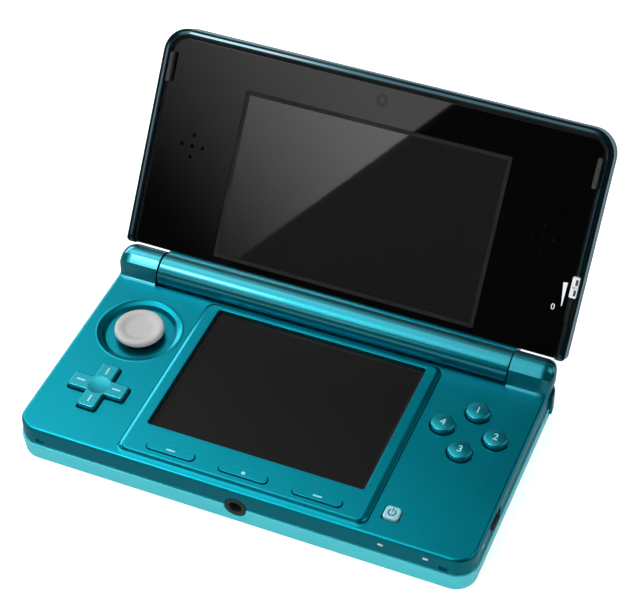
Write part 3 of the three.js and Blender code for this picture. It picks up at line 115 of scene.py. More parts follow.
def arc(x: float, y: float, radius: float, start: float, end: float, steps: int) -> Outline:
    """Points on a circular arc, both ends included.

    Args:
        x, y: the arc's middle point.
        radius: its radius.
        start, end: its first and last angle in degrees.
        steps: how many pieces it is divided into.

    Returns:
        The points in order.
    """
    angles = [math.radians(start + (end - start) * k / steps) for k in range(steps + 1)]
    return [(x + radius * math.cos(angle), y + radius * math.sin(angle)) for angle in angles]


def boxed(x0: float, x1: float, y0: float, y1: float, low: float, high: float | None = None,
          steps: int = CORNER_STEPS) -> OutlineAt:
    """A rectangle with one corner radius at low y and one at high y.

    Args:
        x0, x1, y0, y1: its limits.
        low, high: the corner radii at low y and at high y.
        steps: the divisions of each corner.

    Returns:
        A function from an inset to the outline drawn in by it.
    """
    far = low if high is None else high

    def at(inset: float) -> Outline:
        """The rectangle drawn in by an inset.

        Args:
            inset: how far it is drawn in.

        Returns:
            Its points in order.
        """
        near_r = max(low - inset, LEAST_RADIUS)
        far_r = max(far - inset, LEAST_RADIUS)
        left, right, front, back = x0 + inset, x1 - inset, y0 + inset, y1 - inset
        return (arc(right - near_r, front + near_r, near_r, -90, 0, steps)
                + arc(right - far_r, back - far_r, far_r, 0, 90, steps)
                + arc(left + far_r, back - far_r, far_r, 90, 180, steps)
                + arc(left + near_r, front + near_r, near_r, 180, 270, steps))

    return at


def centred(x: float, y: float, width: float, depth: float, radius: float) -> OutlineAt:
    """A rectangle with round corners from its middle point and two sizes."""
    return boxed(x - width / 2, x + width / 2, y - depth / 2, y + depth / 2, radius)


def disc(x: float, y: float, radius: float, steps: int = ROUND_STEPS) -> OutlineAt:
    """A circle as a function of an inset."""
    return lambda inset: arc(x, y, radius - inset, 0, 360, steps)[:-1]


def crossed(x: float, y: float, span: float, arm: float, tip: float, inner: float) -> OutlineAt:
    """A plus shape with rounded tips and rounded inner corners.

    Args:
        x, y: its middle point.
        span: tip to tip.
        arm: the width of each arm.
        tip, inner: the radii of the outer and the inner corners.

    Returns:
        A function from an inset to the outline drawn in by it.
    """

    def at(inset: float) -> Outline:
        """The plus shape drawn in by an inset.

        Args:
            inset: how far it is drawn in.

        Returns:
            Its points in order.
        """
        reach, half, steps = span / 2 - inset, arm / 2 - inset, CORNER_STEPS // 2
        tip_r, inner_r = max(tip - inset, LEAST_RADIUS), max(inner + inset, LEAST_RADIUS)
        leg = arc(reach - tip_r, tip_r - half, tip_r, -90, 0, steps)
        leg += arc(reach - tip_r, half - tip_r, tip_r, 0, 90, steps)
        leg += arc(half + inner_r, half + inner_r, inner_r, 270, 180, steps)
        points: Outline = []
        for cosine, sine in ((1, 0), (0, 1), (-1, 0), (0, -1)):
            points += [(x + out * cosine - aside * sine, y + out * sine + aside * cosine)
                       for out, aside in leg]
        return points

    return at


def rounding(width: float, drop: float, top: float, steps: int = EDGE_STEPS) -> Outline:
    """A quarter round as (inset, height) pairs, from the wall up to the flat top."""
    angles = [share * math.pi / 2 for share in shares(steps)]
    return [(width * (1 - math.cos(a)), top - drop * (1 - math.sin(a))) for a in angles]


def footing(width: float, rise: float, low: float, steps: int = EDGE_STEPS) -> Outline:
    """A quarter round as (inset, height) pairs, from the flat underside up to the wall."""
    quarter = rounding(width, rise, low + rise, steps)
    return [(inset, 2 * low + rise - height) for inset, height in reversed(quarter)]


def raised(profile: Sequence[Point], height: float) -> Outline:
    """A profile of (inset, rise) pairs, lifted to a height."""
    return [(inset, height + rise) for inset, rise in profile]


def bend(start: Point, towards: Point, end: Point) -> Outline:
    """Points on a smooth bend between two points, without the first.

    Args:
        start, end: the two points.
        towards: the point that the bend leaves and arrives along.

    Returns:
        The points in order.
    """
    return [tuple((1 - t) ** 2 * a + 2 * t * (1 - t) * b + t * t * c
                  for a, b, c in zip(start, towards, end)) for t in shares(FINE_STEPS)[1:]]


# Solids


class Solid:
    """A closed mesh in millimetres that is cut and joined before it becomes a piece."""

    def __init__(self, points: Sequence[Corner], faces: Sequence[Sequence[int]]) -> None:
        """Builds the mesh and turns its faces outwards.

        Args:
            points: the corners.
            faces: the corners' numbers, face by face.
        """
        mesh = bpy.data.meshes.new("solid")
        mesh.from_pydata(points, [], faces)
        self.body = bpy.data.objects.new("solid", mesh)
        bpy.context.scene.collection.objects.link(self.body)
        self._outwards()

    def _outwards(self) -> None:
        """Turns the faces outwards."""
        work = bmesh.new()
        work.from_mesh(self.body.data)
        bmesh.ops.recalc_face_normals(work, faces=work.faces)
        work.to_mesh(self.body.data)
        work.free()

    def moved(self, matrix: Matrix) -> "Solid":
        """The same solid carried by a matrix.

        Args:
            matrix: what carries it.

        Returns:
            This solid.
        """
        self.body.data.transform(matrix)
        self._outwards()
        return self

    def mirrored(self, side: Side) -> "Solid":
        """The solid as made for the right, or its mirror image for the left."""
        return self if side is Side.RIGHT else self.moved(Matrix.Scale(-1, 4, (1, 0, 0)))

    def carve(self, action: Carving, *others: "Solid") -> "Solid":
        """Combines other solids with this one, and uses them up.

        Args:
            action: what the others do to this one.
            others: the other solids, in order.

        Returns:
            This solid.
        """
        for other in others:
            step = self.body.modifiers.new("carve", "BOOLEAN")
            step.operation = action.value
            step.solver = "MANIFOLD"
            step.object = other.body
        graph = bpy.context.evaluated_depsgraph_get()
        made = bpy.data.meshes.new_from_object(self.body.evaluated_get(graph))
        self.body.modifiers.clear()
        old = self.body.data
        self.body.data = made
        bpy.data.meshes.remove(old)
        for other in others:
            mesh = other.body.data
            bpy.data.objects.remove(other.body)
            bpy.data.meshes.remove(mesh)
        return self

    def cut(self, *others: "Solid") -> "Solid":
        """Takes the others away from this solid."""
        return self.carve(Carving.CUT, *others)

    def join(self, *others: "Solid") -> "Solid":
        """Adds the others to this solid."""
        return self.carve(Carving.JOIN, *others)

    def share(self, *others: "Solid") -> "Solid":
        """Keeps what this solid has in common with all the others."""
        return self.carve(Carving.SHARE, *others)


def skinned(rings: Sequence[Sequence[Corner]]) -> Solid:
    """A solid through rings of equal point counts, closed by a flat face at each end.

    Args:
        rings: the rings, from end to end.

    Returns:
        The solid.
    """
    count = len(rings[0])
    faces: list[list[int]] = [list(range(count))[::-1]]
    for k in range(len(rings) - 1):
        low, high = k * count, (k + 1) * count
        for i in range(count):
            j = (i + 1) % count
            faces.append([low + i, low + j, high + j, high + i])
    faces.append(list(range((len(rings) - 1) * count, len(rings) * count)))
    return Solid([point for ring in rings for point in ring], faces)


def loft(outline_at: OutlineAt, profile: Sequence[Point]) -> Solid:
    """A solid through an outline at several (inset, height) pairs."""
    return skinned([[(x, y, z) for x, y in outline_at(inset)] for inset, z in profile])


def prism(outline_at: OutlineAt, low: float, high: float) -> Solid:
    """A solid of one outline between two heights."""
    return loft(outline_at, [(0, low), (0, high)])


def softened(outline_at: OutlineAt, low: float, high: float, low_edge: float,
             high_edge: float) -> Solid:
    """A prism whose lower and upper edges are quarter rounds.

    Args:
        outline_at: its outline as a function of an inset.
        low, high: its two heights.
        low_edge, high_edge: the radii of the lower and the upper edge, or 0 for none.

    Returns:
        The solid.
    """
    profile = footing(low_edge, low_edge, low) if low_edge else [(0.0, low)]
    profile += rounding(high_edge, high_edge, high) if high_edge else [(0.0, high)]
    return loft(outline_at, profile)


def hole(outline_at: OutlineAt, low: float, top: float, flare: float) -> Solid:
    """A cutter for a hole through a flat top, which leaves a rounded rim.

    Args:
        outline_at: the hole's outline as a function of an inset.
        low: where the hole ends below.
        top: the flat surface's height.
        flare: the radius of the rim.

    Returns:
        The cutter.
    """
    rim = [(-inset, z) for inset, z in rounding(flare, flare, top)]
    return loft(outline_at, [(0, low), *rim, (-flare, top + OVERRUN)])


def block(x0: float, x1: float, y0: float, y1: float, z0: float, z1: float) -> Solid:
    """A block between two limits on each axis."""
    ring = [(x0, y0), (x1, y0), (x1, y1), (x0, y1)]
    return skinned([[(x, y, z) for x, y in ring] for z in (z0, z1)])


def turned(profile: Sequence[Point], steps: int = ROUND_STEPS, closed: bool = False) -> Solid:
    """A profile turned about the Z axis.

    Args:
        profile: (radius, height) pairs. It starts and ends on the axis, unless it is closed.
        steps: the divisions of the circle.
        closed: whether the profile is a loop away from the axis.

    Returns:
        The solid.
    """
    points: list[Corner] = []
    rows: list[list[int]] = []
    for radius, height in profile:
        if radius < SAME_SPOT:
            rows.append([len(points)])
            points.append((0, 0, height))
            continue
        rows.append(list(range(len(points), len(points) + steps)))
        points += [(x, y, height) for x, y in arc(0, 0, radius, 0, 360, steps)[:-1]]
    faces: list[list[int]] = []
    pairs = list(zip(rows, rows[1:] + rows[:1] if closed else rows[1:]))
    for low, high in pairs:
        for i in range(steps):
            j = (i + 1) % steps
            quad = [low[i % len(low)], low[j % len(low)], high[j % len(high)], high[i % len(high)]]
            corners = list(dict.fromkeys(quad))
            if len(corners) > 2:
                faces.append(corners)
    return Solid(points, faces)


def rod(radius: float, start: float, end: float, steps: int = SMALL_ROUND_STEPS) -> Solid:
    """A round bar on the Z axis."""
    return turned([(0, start), (radius, start), (radius, end), (0, end)], steps)


def along_x(y: float, z: float) -> Matrix:
    """Carries a solid turned about Z onto a line along X."""
    return Matrix.Translation((0, y, z)) @ Matrix.Rotation(math.pi / 2, 4, "Y")


def along_y(x: float, z: float) -> Matrix:
    """Carries a solid turned about Z onto a line along Y."""
    return Matrix.Translation((x, 0, z)) @ Matrix.Rotation(-math.pi / 2, 4, "X")


def swept_x(profile: Outline, x0: float, x1: float) -> Solid:
    """A (y, z) profile swept along X."""
    return skinned([[(x, y, z) for y, z in profile] for x in (x0, x1)])


# Finishes


# In a finish a pair is a noise's scale in waves per metre and its detail, or the two ends of a
# range, and widths and depths are in millimetres

# How alike the softened and the real normal are, on a full edge and on a flat
EDGE_TURN = (0.82, 0.99)


class Recipe:
    """A node material under construction: one surface shader and what feeds it."""

    def __init__(self, name: str) -> None:
        """Starts a material with its shader and its own coordinates.

        Args:
            name: the material's name.
        """
        self.material = bpy.data.materials.new(name)
        self.material.use_nodes = True
        self.tree = self.material.node_tree
        self.tree.nodes.clear()
        self.output = self.tree.nodes.new("ShaderNodeOutputMaterial")
        self.shader = self.tree.nodes.new("ShaderNodeBsdfPrincipled")
        self.tree.links.new(self.shader.outputs[0], self.output.inputs[0])
        self.place = self.tree.nodes.new("ShaderNodeTexCoord").outputs["Object"]

    def fill(self, node: bpy.types.Node, *sources: NodeOut, **values: object) -> bpy.types.Node:
        """Fills in a node's settings and sockets.

        Args:
            node: the node.
            sources: what is linked to its first sockets, in order.
            values: each setting's or other socket's value by name, or the output linked to it.

        Returns:
            The node.
        """
        for name, value in values.items():
            socket = node.inputs.get(name.replace("_", " "))
            if socket is None:
                setattr(node, name, value)
            elif isinstance(value, NodeOut):
                self.tree.links.new(value, socket)
            else:
                socket.default_value = value
        for socket, source in zip(node.inputs, sources):
            self.tree.links.new(source, socket)
        return node

    def add(self, kind: str, *sources: NodeOut, **values: object) -> bpy.types.Node:
        """A new node of a kind, which is its type without the first word, filled in."""
        return self.fill(self.tree.nodes.new("ShaderNode" + kind), *sources, **values)

    def surface(self, **values: object) -> None:
        """Fills in the surface shader's sockets by name."""
        self.fill(self.shader, **values)

    def stretched(self, times: float) -> NodeOut:
        """The coordinates scaled along Y and Z, which draws a pattern out along X."""
        return self.add("Mapping", Vector=self.place, Scale=(1.0, times, times)).outputs[0]

    def noise(self, scale: float, detail: float = 2.0, place: NodeOut | None = None) -> NodeOut:
        """Smooth noise from 0 to 1, with a scale in waves per metre."""
        spot = self.place if place is None else place
        return self.add("TexNoise", Vector=spot, Scale=scale, Detail=detail).outputs["Fac"]

    def spread(self, value: NodeOut, low: float, high: float, from_low: float = 0.3,
               from_high: float = 0.7) -> NodeOut:
        """A value carried from one range to another."""
        node = self.add("MapRange", Value=value, From_Min=from_low, From_Max=from_high,
                        To_Min=low, To_Max=high)
        return node.outputs[0]

    def blend(self, amount: NodeOut, first: NodeOut | Colour, second: Colour) -> NodeOut:
        """A colour between two, by an amount from 0 to 1.

        Args:
            amount: the second colour's share.
            first, second: the colours.

        Returns:
            The colour.
        """
        node = self.add("Mix", amount, data_type="RGBA")
        if isinstance(first, NodeOut):
            self.tree.links.new(first, node.inputs[6])
        else:
            node.inputs[6].default_value = (*first, 1)
        node.inputs[7].default_value = (*second, 1)
        return node.outputs[2]

    def clouded(self, cloud: Point, deep: Colour, bright: Colour) -> NodeOut:
        """A colour that drifts between two over a soft noise of a scale and a detail."""
        return self.blend(self.spread(self.noise(*cloud), 0.0, 1.0), deep, bright)

    def patchy(self, patch: Point, value: float, ends: Point, place: NodeOut | None = None) -> NodeOut:
        """A roughness that varies in patches.

        Args:
            patch: the scale and the detail of the patches.
            value: the middle roughness.
            ends: the least and the greatest share of it.
            place: the coordinates, or None for the object's own.

        Returns:
            The roughness.
        """
        least, greatest = ends
        noise = self.noise(*patch, place)
        return self.spread(noise, value * least, min(1.0, value * greatest))

    def rubbed(self, colour: NodeOut, width: float, light: float) -> NodeOut:
        """A colour that is lighter by a factor on edges, partly as rubbing wear and partly as a painted
        highlight.
        """
        return self.times(colour, self.spread(self.edges(width), 1.0, light, 0.0, 1.0))

    def times(self, colour: NodeOut, amount: NodeOut) -> NodeOut:
        """A colour made lighter or darker by an amount round 1."""
        return self.add("VectorMath", operation="SCALE", Vector=colour, Scale=amount).outputs[0]

    def reckon(self, action: Reckoning, first: NodeOut, second: NodeOut) -> NodeOut:
        """Two numbers added or multiplied."""
        return self.add("Math", first, second, operation=action.value).outputs[0]

    def end_with(self, first: NodeOut, second: NodeOut) -> None:
        """Takes two shaders added together in the place of the surface shader.

        Args:
            first, second: the shaders.
        """
        both = self.add("AddShader", first, second)
        self.tree.links.new(both.outputs[0], self.output.inputs[0])
        self.tree.nodes.remove(self.shader)

    def relief(self, height: NodeOut, depth: float) -> NodeOut:
        """A surface normal bent by a height map of a depth in millimetres."""
        return self.add("Bump", Height=height, Distance=depth * MM, Strength=1.0).outputs[0]

    def edges(self, radius: float) -> NodeOut:
        """How near a convex or concave edge a point is, from 0 on flats to 1 on edges.

        Args:
            radius: how far an edge reaches, in millimetres.

        Returns:
            The nearness.
        """
        soft = self.add("Bevel", Radius=radius * MM, samples=4).outputs[0]
        flat = self.add("NewGeometry").outputs["Normal"]
        dot = self.add("VectorMath", soft, flat, operation="DOT_PRODUCT").outputs["Value"]
        return self.spread(dot, 1.0, 0.0, *EDGE_TURN)


@dataclass(frozen=True)
class Lacquer:
    """Metallic lacquer: flakes under a thin clear coat, with faint wiping marks, and edges painted
    lighter, partly as wear and partly as a painted highlight.
    """

    name: str
    deep: Colour
    bright: Colour
    metallic: float = 0.75
    roughness: float = 0.3
    coat: float = 0.5
    flake_scale: float = 5200.0
    flake_glint: Point = (0.985, 1.015)
    flake_relief: float = 0.0001
    cloud: Point = (38.0, 3.0)
    # Width and gain of the lighter edges, which are partly wear and partly a painted highlight
    rub: float = 0.35
    rub_light: float = 1.15
    wiping: Point = (60.0, 4.0)
    wiped: Point = (0.94, 1.07)
    coat_roughness: float = 0.06

    def material(self) -> bpy.types.Material:
        """The node material.

        Returns:
            The material.
        """
        recipe = Recipe(self.name)
        flakes = recipe.add("TexVoronoi", Vector=recipe.place, Scale=self.flake_scale)
        glint = recipe.add("SeparateColor", Color=flakes.outputs["Color"]).outputs[0]
        tint = recipe.clouded(self.cloud, self.deep, self.bright)
        body = recipe.times(tint, recipe.spread(glint, *self.flake_glint, 0.0, 1.0))
        # Edges are painted lighter: partly wear of thinner lacquer, partly a painted highlight
        lighter = recipe.rubbed(body, self.rub, self.rub_light)
        recipe.surface(Base_Color=lighter, Metallic=self.metallic,
                       Roughness=recipe.patchy(self.wiping, self.roughness, self.wiped),
                       Normal=recipe.relief(glint, self.flake_relief), Coat_Weight=self.coat,
                       Coat_Roughness=self.coat_roughness, Coat_IOR=1.5)
        return recipe.material


@dataclass(frozen=True)
class Gloss:
    """Smooth polished plastic or glass with a trace of dust and wiping."""

    name: str
    deep: Colour
    bright: Colour
    roughness: float = 0.08
    specular: float = 0.5
    dust: float = 0.4
    cloud: Point = (45.0, 3.0)
    wiping: Point = (26.0, 5.0)
    wiped: Point = (0.95, 1.08)
    speck: Point = (1900.0, 2.0)
    speck_range: Point = (0.66, 0.8)
    speck_weight: float = 0.2
    ripple: Point = (300.0, 1.0)
    ripple_depth: float = 0.0004

    def material(self) -> bpy.types.Material:
        """The node material.

        Returns:
            The material.
        """
        recipe = Recipe(self.name)
        rough = recipe.patchy(self.wiping, self.roughness, self.wiped, recipe.stretched(5.0))
        specks = recipe.spread(recipe.noise(*self.speck), 0.0, self.dust * self.speck_weight,
                               *self.speck_range)
        recipe.surface(Base_Color=recipe.clouded(self.cloud, self.deep, self.bright), Metallic=0.0,
                       Roughness=recipe.reckon(Reckoning.SUM, rough, specks),
                       Specular_IOR_Level=self.specular,
                       Normal=recipe.relief(recipe.noise(*self.ripple), self.ripple_depth))
        return recipe.material


@dataclass(frozen=True)
class Moulded:
    """Moulded plastic or rubber with a fine grain, and edges painted brighter, partly as rubbing wear
    and partly as a painted highlight.
    """

    name: str
    deep: Colour
    bright: Colour
    roughness: float = 0.55
    grain: float = 0.02
    grain_scale: float = 2600.0
    specular: float = 0.4
    # How much brighter edges are painted, partly as wear and partly as a painted highlight
    wear: float = 1.3
    cloud: Point = (70.0, 4.0)
    # The width of those brighter edges
    rub: float = 0.3
    patch: Point = (120.0, 3.0)
    patched: Point = (0.9, 1.12)
    grain_detail: float = 3.0

    def material(self) -> bpy.types.Material:
        """The node material.

        Returns:
            The material.
        """
        recipe = Recipe(self.name)
        tint = recipe.clouded(self.cloud, self.deep, self.bright)
        bumps = recipe.noise(self.grain_scale, self.grain_detail)
        # Edges are painted brighter: partly rubbing wear, partly a painted highlight
        recipe.surface(Base_Color=recipe.rubbed(tint, self.rub, self.wear), Metallic=0.0,
                       Roughness=recipe.patchy(self.patch, self.roughness, self.patched),
                       Specular_IOR_Level=self.specular, Normal=recipe.relief(bumps, self.grain))
        return recipe.material


@dataclass(frozen=True)
class Brushed:
    """Metal brushed along X, darker in its scratches."""

    name: str
    deep: Colour
    bright: Colour
    roughness: float = 0.3
    scratch: Point = (110.0, 5.0)
    scratch_depth: float = 0.006
    stain: Point = (90.0, 4.0)
    stained: Point = (0.8, 1.35)

    def material(self) -> bpy.types.Material:
        """The node material.

        Returns:
            The material.
        """
        recipe = Recipe(self.name)
        lines = recipe.noise(*self.scratch, recipe.stretched(40.0))
        tint = recipe.blend(recipe.spread(lines, 0.0, 1.0), self.deep, self.bright)
        recipe.surface(Base_Color=tint, Metallic=1.0, Anisotropic=0.5,
                       Roughness=recipe.patchy(self.stain, self.roughness, self.stained),
                       Normal=recipe.relief(lines, self.scratch_depth))
        return recipe.material


@dataclass(frozen=True)
class Board:
    """Green circuit board with copper tracks under the lacquer and pale pads."""

    name: str
    lacquer: Colour
    track: Colour
    pad: Colour
    track_scale: float = 420.0
    track_tones: tuple[float, float, float] = (0.0, 0.25, 1.0)
    track_depth: float = 0.03
    pad_scale: float = 330.0
    pad_size: Point = (0.1, 0.14)
    roughness: Point = (0.45, 0.25)

    def material(self) -> bpy.types.Material:
        """The node material.

        Returns:
            The material.
        """
        recipe = Recipe(self.name)
        bricks = recipe.add("TexBrick", Vector=recipe.place, Scale=self.track_scale,
                            Mortar_Size=0.07, Brick_Width=1.7, Row_Height=0.3)
        for name, tone in zip(("Color1", "Color2", "Mortar"), self.track_tones):
            bricks.inputs[name].default_value = (tone, tone, tone, 1)
        tracks = recipe.add("SeparateColor", Color=bricks.outputs[0]).outputs[0]
        green = recipe.blend(tracks, self.lacquer, self.track)
        dots = recipe.add("TexVoronoi", Vector=recipe.place, Scale=self.pad_scale)
        spot = recipe.spread(dots.outputs["Distance"], 1.0, 0.0, *self.pad_size)
        recipe.surface(Base_Color=recipe.blend(spot, green, self.pad), Metallic=0.1,
                       Roughness=recipe.spread(spot, *self.roughness, 0.0, 1.0),
                       Normal=recipe.relief(tracks, self.track_depth))
        return recipe.material


@dataclass(frozen=True)
class Pale:
    """The studio floor: pale, matte, and a little bright of its own."""

    name: str = "studio_floor"
    tone: Colour = (0.9, 0.9, 0.9)
    deep: Colour = (0.8865, 0.8865, 0.8865)
    glow: float = 0.5
    cloud: Point = (9.0, 2.0)

    def material(self) -> bpy.types.Material:
        """The node material.

        Returns:
            The material.
        """
        recipe = Recipe(self.name)
        recipe.surface(Base_Color=recipe.clouded(self.cloud, self.deep, self.tone), Roughness=0.9,
                       Specular_IOR_Level=0.1, Emission_Color=(1, 1, 1, 1),
                       Emission_Strength=self.glow)
        return recipe.material


Finish = Lacquer | Gloss | Moulded | Brushed | Board | Pale

CASING = Lacquer("casing_teal", (0.0, 0.275, 0.36), (0.0, 0.3, 0.39), 0.97, 0.3, 0.07)
HINGE = Lacquer("hinge_teal", (0.0, 0.275, 0.35), (0.0, 0.3, 0.38), 0.97, 0.3, 0.8)
COVER = Lacquer("cover_teal", (0.055, 0.59, 0.67), (0.07, 0.63, 0.71), 0.45, 0.3, 0.4)
KEYS = Lacquer("key_teal", (0.0, 0.31, 0.39), (0.002, 0.34, 0.42), 0.9, 0.26, 0.4)
POWER = Lacquer("power_silver", (0.26, 0.59, 0.66), (0.3, 0.63, 0.7), 0.4, 0.3, 0.6)
BLACK = Gloss("panel_black", (0.0003, 0.0003, 0.0004), (0.0006, 0.0006, 0.0007), 0.02, 0.5, 0.04)
SCREEN = Gloss("display_face", (0.0065, 0.0065, 0.0068), (0.0075, 0.0075, 0.0078), 0.02, 0.9, 0.04)
TOUCH = Gloss("touch_face", (0.0056, 0.0054, 0.0053), (0.006, 0.0058, 0.0057), 0.3, 0.1, 0.1)
DARK = Moulded("dark_plastic", (0.012, 0.012, 0.013), (0.02, 0.02, 0.022))
PAD = Moulded("pad_grey", (0.38, 0.375, 0.375), (0.43, 0.425, 0.425), 0.42, 0.006, 1800.0, 0.45, 1.06)
SILVER = Moulded("silver_plastic", (0.62, 0.66, 0.68), (0.7, 0.73, 0.75), 0.3, 0.002, 900.0, 0.6, 1.05)
STEEL = Brushed("bright_steel", (0.42, 0.43, 0.45), (0.6, 0.61, 0.63))
BUMPER = Moulded("bumper_rubber", (0.022, 0.021, 0.022), (0.032, 0.031, 0.032), 0.5, 0.008, 1500.0, 0.5)
PRINT = Moulded("white_print", (0.68, 0.7, 0.71), (0.76, 0.78, 0.79), 0.45, 0.003, 2200.0, 0.4, 1.0)
# Black rubber, also used for the sheets that paint shade in the lid's gap and slot
BLACK_RUBBER_AND_SHADE = Moulded("black_rubber_and_painted_shade", (0.008, 0.008, 0.0085), (0.014, 0.014, 0.015), 0.8, 0.015, 1500.0, 0.25)
GREY_RUBBER = Moulded("grey_rubber", (0.28, 0.29, 0.3), (0.34, 0.35, 0.36), 0.7, 0.01, 1500.0, 0.3)
BOARD = Board("circuit_board", (0.008, 0.1, 0.045), (0.02, 0.17, 0.08), (0.5, 0.42, 0.2))
WRAP = Moulded("battery_wrap", (0.035, 0.037, 0.04), (0.055, 0.057, 0.06), 0.45, 0.01, 700.0)
TRIM = Lacquer("rim_navy", (0.002, 0.035, 0.05), (0.003, 0.045, 0.062), 0.9, 0.2, 1.0)
LENS = Gloss("dark_lens", (0.003, 0.0035, 0.005), (0.006, 0.007, 0.011), 0.03, 0.8, 0.1)
LIGHT = Moulded("light_pipe", (0.33, 0.46, 0.49), (0.39, 0.52, 0.55), 0.3, 0.003, 900.0, 0.5, 1.05)
# Pale print for numbers and marks, also the painted highlight on the cross pad's dashes
PALE_PRINT_AND_HIGHLIGHT = Moulded("pale_print_and_painted_highlight", (0.24, 0.55, 0.62), (0.3, 0.62, 0.7), 0.45, 0.003, 2200.0, 0.4, 1.0)


@dataclass
class Workshop:
    """Turns solids into named pieces that ride on the CAD bodies."""

    made: dict[str, bpy.types.Material] = field(default_factory=dict)

    def material(self, finish: Finish) -> bpy.types.Material:
        """The finish's material, built at its first use.

        Args:
            finish: the finish.

        Returns:
            The material.
        """
        if finish.name not in self.made:
            self.made[finish.name] = finish.material()
        return self.made[finish.name]

    def show(self, solid: Solid, name: str, finish: Finish, body: str, slot: str,
             *stands_for: str) -> bpy.types.Object:
        """Makes a piece of a solid.

        Args:
            solid: the finished solid, in millimetres.
            name: the piece's name.
            finish: what its surface is.
            body: the CAD body that it rides on.
            slot: the record's material slot; not used.
            stands_for: the CAD nodes that it replaces.

        Returns:
            The piece's object.
        """
        piece = solid.body
        piece.name = name
        mesh = piece.data
        mesh.name = name
        mesh.transform(Matrix.Scale(MM, 4))
        mesh.materials.clear()
        mesh.materials.append(self.material(finish))
        mesh.polygons.foreach_set("material_index", [0] * len(mesh.polygons))
        mesh.shade_smooth()
        mesh.set_sharp_from_angle(angle=SHARP_ANGLE)
        weighted = piece.modifiers.new("even_shading", "WEIGHTED_NORMAL")
        weighted.keep_sharp = True
        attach(piece, body)
        if stands_for:
            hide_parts(*stands_for)
        log.info("%s: %d faces on %s", name, len(mesh.polygons), body)
        return piece

    def polish(self, piece: bpy.types.Object, finish: Finish, corner: Corner) -> None:
        """Gives another finish to the faces beyond a corner, alike at both ends.

        Args:
            piece: the piece.
            finish: what those faces are.
            corner: the least distance from the middle across, and the least y and z.
        """
        piece.data.materials.append(self.material(finish))
        for face in piece.data.polygons:
            x, y, z = face.center / MM
            if abs(x) > corner[0] and y > corner[1] and z > corner[2]:
                face.material_index = 1

    def dress(self, node: str, finish: Finish, edge: float = 0.08) -> None:
        """Gives a CAD node its finish and softens its edges.

        Args:
            node: the node's name.
            finish: what its surface is.
            edge: the width of its softened edges.
        """
        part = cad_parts[node]
        part.data.materials.clear()
        part.data.materials.append(self.material(finish))
        weld = part.modifiers.new("weld", "WELD")
        weld.merge_threshold = SAME_SPOT
        flat = part.modifiers.new("flats", "DECIMATE")
        flat.decimate_type = "DISSOLVE"
        flat.angle_limit = FLAT_ANGLE
        soft = part.modifiers.new("soft_edges", "BEVEL")
        soft.width = edge * MM
        soft.segments = 2
        soft.limit_method = "ANGLE"
        soft.angle_limit = BEVEL_ANGLE
        log.info("%s: carried over from the CAD model", node)


@dataclass
class Plan:
    """Places and heights that several sub-assemblies share."""

    half: float = 67.0
    front: float = 37.2
    rear: float = 37.4
    height: float = 12.0
    seam: float = 6.1
    shell_foot: float = 6.3
    lip: float = 0.5
    corner: float = 6.5
    face_wall: float = 1.5
    flange_top: float = 10.2
    run: float = 0.35
    seat: float = 0.3
    gap: float = 0.2
    hole_edge: float = 0.2
    hinge_y: float = 32.9
    hinge_z: float = 13.2
    barrel_radius: float = 5.15
    barrel_half: float = 54.0
    trough_front: float = 27.3
    trough_floor: float = 7.7
    opening: float = 124.7
    key_along: float = -30.9
    key_pitch: float = 21.4
    key_size: Point = (14.0, 2.7)
    key_corner: float = 1.2
    window: Point = (63.8, 47.7)

    def below_face(self) -> float:
        """A height just under the control face's wall, where its holes' cutters start."""
        return self.height - self.face_wall - OVERRUN

    def outline(self, inset: float) -> Outline:
        """The base's outline in plan, drawn in by an inset."""
        return boxed(-self.half, self.half, -self.front, self.rear, self.corner)(inset)

    def at_hinge(self) -> Matrix:
        """Carries the lid from its closed frame about the hinge to its open place."""
        turn = Matrix.Rotation(-math.radians(self.opening), 4, "X")
        return Matrix.Translation((0, self.hinge_y, self.hinge_z)) @ turn

    def key_places(self) -> dict[str, float]:
        """Each system key's place across."""
        return {"select_key": -self.key_pitch, "home_key": 0.0, "start_key": self.key_pitch}


